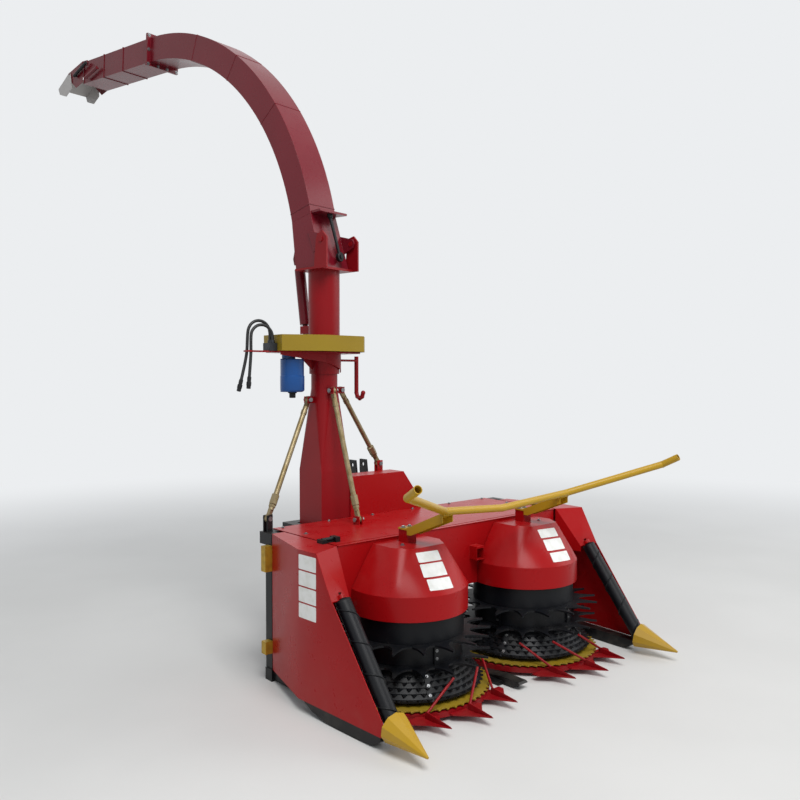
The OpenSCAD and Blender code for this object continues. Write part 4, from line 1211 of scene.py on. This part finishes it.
STAYS = (
    Stay("stay_front", (-0.390, 0.430, DECK_Z + 0.026), (-0.400, TOWER_Y - PIPE_R - 0.03, 1.440), LEFT),
    Stay("stay_right", (-0.835, 0.600, 0.800), (TOWER_X - PIPE_R - 0.04, TOWER_Y - 0.008, 1.390), BACK),
    Stay("stay_left", (0.049, 0.800, 1.000), (TOWER_X + PIPE_R + 0.04, TOWER_Y + 0.004, 1.440), BACK),
)


@dataclass(frozen=True)
class BoltGroup:
    """Bolt heads of one size on one flat face."""

    name: str
    across: float
    axis: Point
    places: tuple[Point, ...]

    def make(self) -> None:
        """Makes the heads as one piece."""
        Piece(self.name, "chassis", PLATED).make(bolts(self.across, self.places, self.axis))


def mirrored(*places: Point) -> tuple[Point, ...]:
    """The places and their mirror images across the centre plane."""
    return places + tuple((-x, y, z) for x, y, z in places)


BOLT_GROUPS = (
    BoltGroup(
        "bar_foot_bolts", 0.013, UP,
        mirrored(*((DRUM_X + x, 0.008, POST_TOP + 0.008) for x in (-0.02, 0.02))),
    ),
    BoltGroup("cover_bolts", 0.011, UP, mirrored((DRUM_X + 0.075, -0.05, CAP_Z))),
    BoltGroup(
        "deck_bolts", 0.010, UP,
        mirrored(*((x, 0.61, DECK_Z) for x in (0.15, 0.45, 0.74)), (0.74, 0.40, DECK_Z)),
    ),
    BoltGroup(
        "gearbox_bolts", 0.016, BACK,
        tuple((-0.05 + x, 1.014, 0.45 + z) for x in (-0.08, 0.08) for z in (-0.1, 0.1)),
    ),
)


# Stage


@dataclass(frozen=True)
class Lamp:
    """Large soft lamp that looks at the machine's middle."""

    name: str
    place: Point
    size: float
    watts: float
    aim: Point = (0.0, 0.5, 1.2)

    def hang(self) -> None:
        """Hangs the lamp."""
        data = bpy.data.lights.new(self.name, "AREA")
        data.size = self.size
        data.energy = self.watts
        lamp = linked(self.name, data)
        lamp.location = self.place
        aim = Vector(self.aim) - Vector(self.place)
        lamp.rotation_euler = aim.to_track_quat("-Z", "Y").to_euler()


@dataclass(frozen=True)
class Stage:
    """Floor, lamps, world and camera."""

    camera_place: Point = (-2.941, -2.864, 1.515)
    camera_yaw_deg: float = 40.77
    camera_pitch_deg: float = -1.68
    lens_mm: float = 35.8
    sensor_mm: float = 36.0
    camera_reach: float = 400.0
    floor_half: float = 60.0
    lamps: tuple[Lamp, ...] = (
        Lamp("key_lamp", (-2.2, -4.0, 8.2), 4.5, 640.0),
        Lamp("fill_lamp", (6.0, -3.0, 5.0), 5.0, 160.0),
    )
    sky: str = "#dde3ea"
    sky_strength: float = 0.5

    def make(self) -> None:
        """Sets up the camera first, then the floor, the lamps and the world."""
        self._camera()
        self._floor()
        for lamp in self.lamps:
            lamp.hang()
        self._world()

    def _camera(self) -> None:
        """Places the camera; yaw turns from +Y towards +X and pitch is above the horizon."""
        data = bpy.data.cameras.new("camera")
        data.lens = self.lens_mm
        data.sensor_width = self.sensor_mm
        data.clip_end = self.camera_reach
        camera = linked("camera", data)
        camera.location = self.camera_place
        pitch, yaw = radians(90.0 + self.camera_pitch_deg), radians(-self.camera_yaw_deg)
        camera.rotation_euler = (pitch, 0.0, yaw)
        bpy.context.scene.camera = camera

    def _floor(self) -> None:
        """Lays the floor: one square at height zero."""
        half = self.floor_half
        corners = [(-half, -half, 0), (half, -half, 0), (half, half, 0), (-half, half, 0)]
        mesh = bpy.data.meshes.new("floor")
        mesh.from_pydata(corners, [], [(0, 1, 2, 3)])
        mesh.materials.append(material_of(FLOOR))
        linked("floor", mesh)

    def _world(self) -> None:
        """Sets a plain pale sky, which the camera, mirrors and glass see as the white backdrop."""
        world = bpy.data.worlds.new("studio")
        bpy.context.scene.world = world
        node = cleared(world)
        lit = node("Background", Color=linear(self.sky), Strength=self.sky_strength)
        shown = node("Background", Color=linear(BACKDROP), Strength=1.0)
        mixed = node("MixShader", i0=backdrop_rays(node), i1=lit, i2=shown)
        node("OutputWorld", Surface=mixed)
        bpy.context.scene.view_settings.view_transform = "Standard"


def main() -> None:
    """Builds the stage, dresses the CAD nodes and adds the modelled pieces."""
    logging.basicConfig(level=logging.INFO, format="%(name)s: %(message)s")
    for part in (
        Stage(), *HOSES, *DRESSES, DrumBolts(1), DrumBolts(-1), SpoutDetails(), PanelLabels(), *COVER_LABELS,
        BarWebs(), SlewMotorShell(), LiftHinge(), FlapLinks(), BracketSkirt(), *STAYS, *BOLT_GROUPS,
    ):
        part.make()


if __name__ == "__main__":
    main()
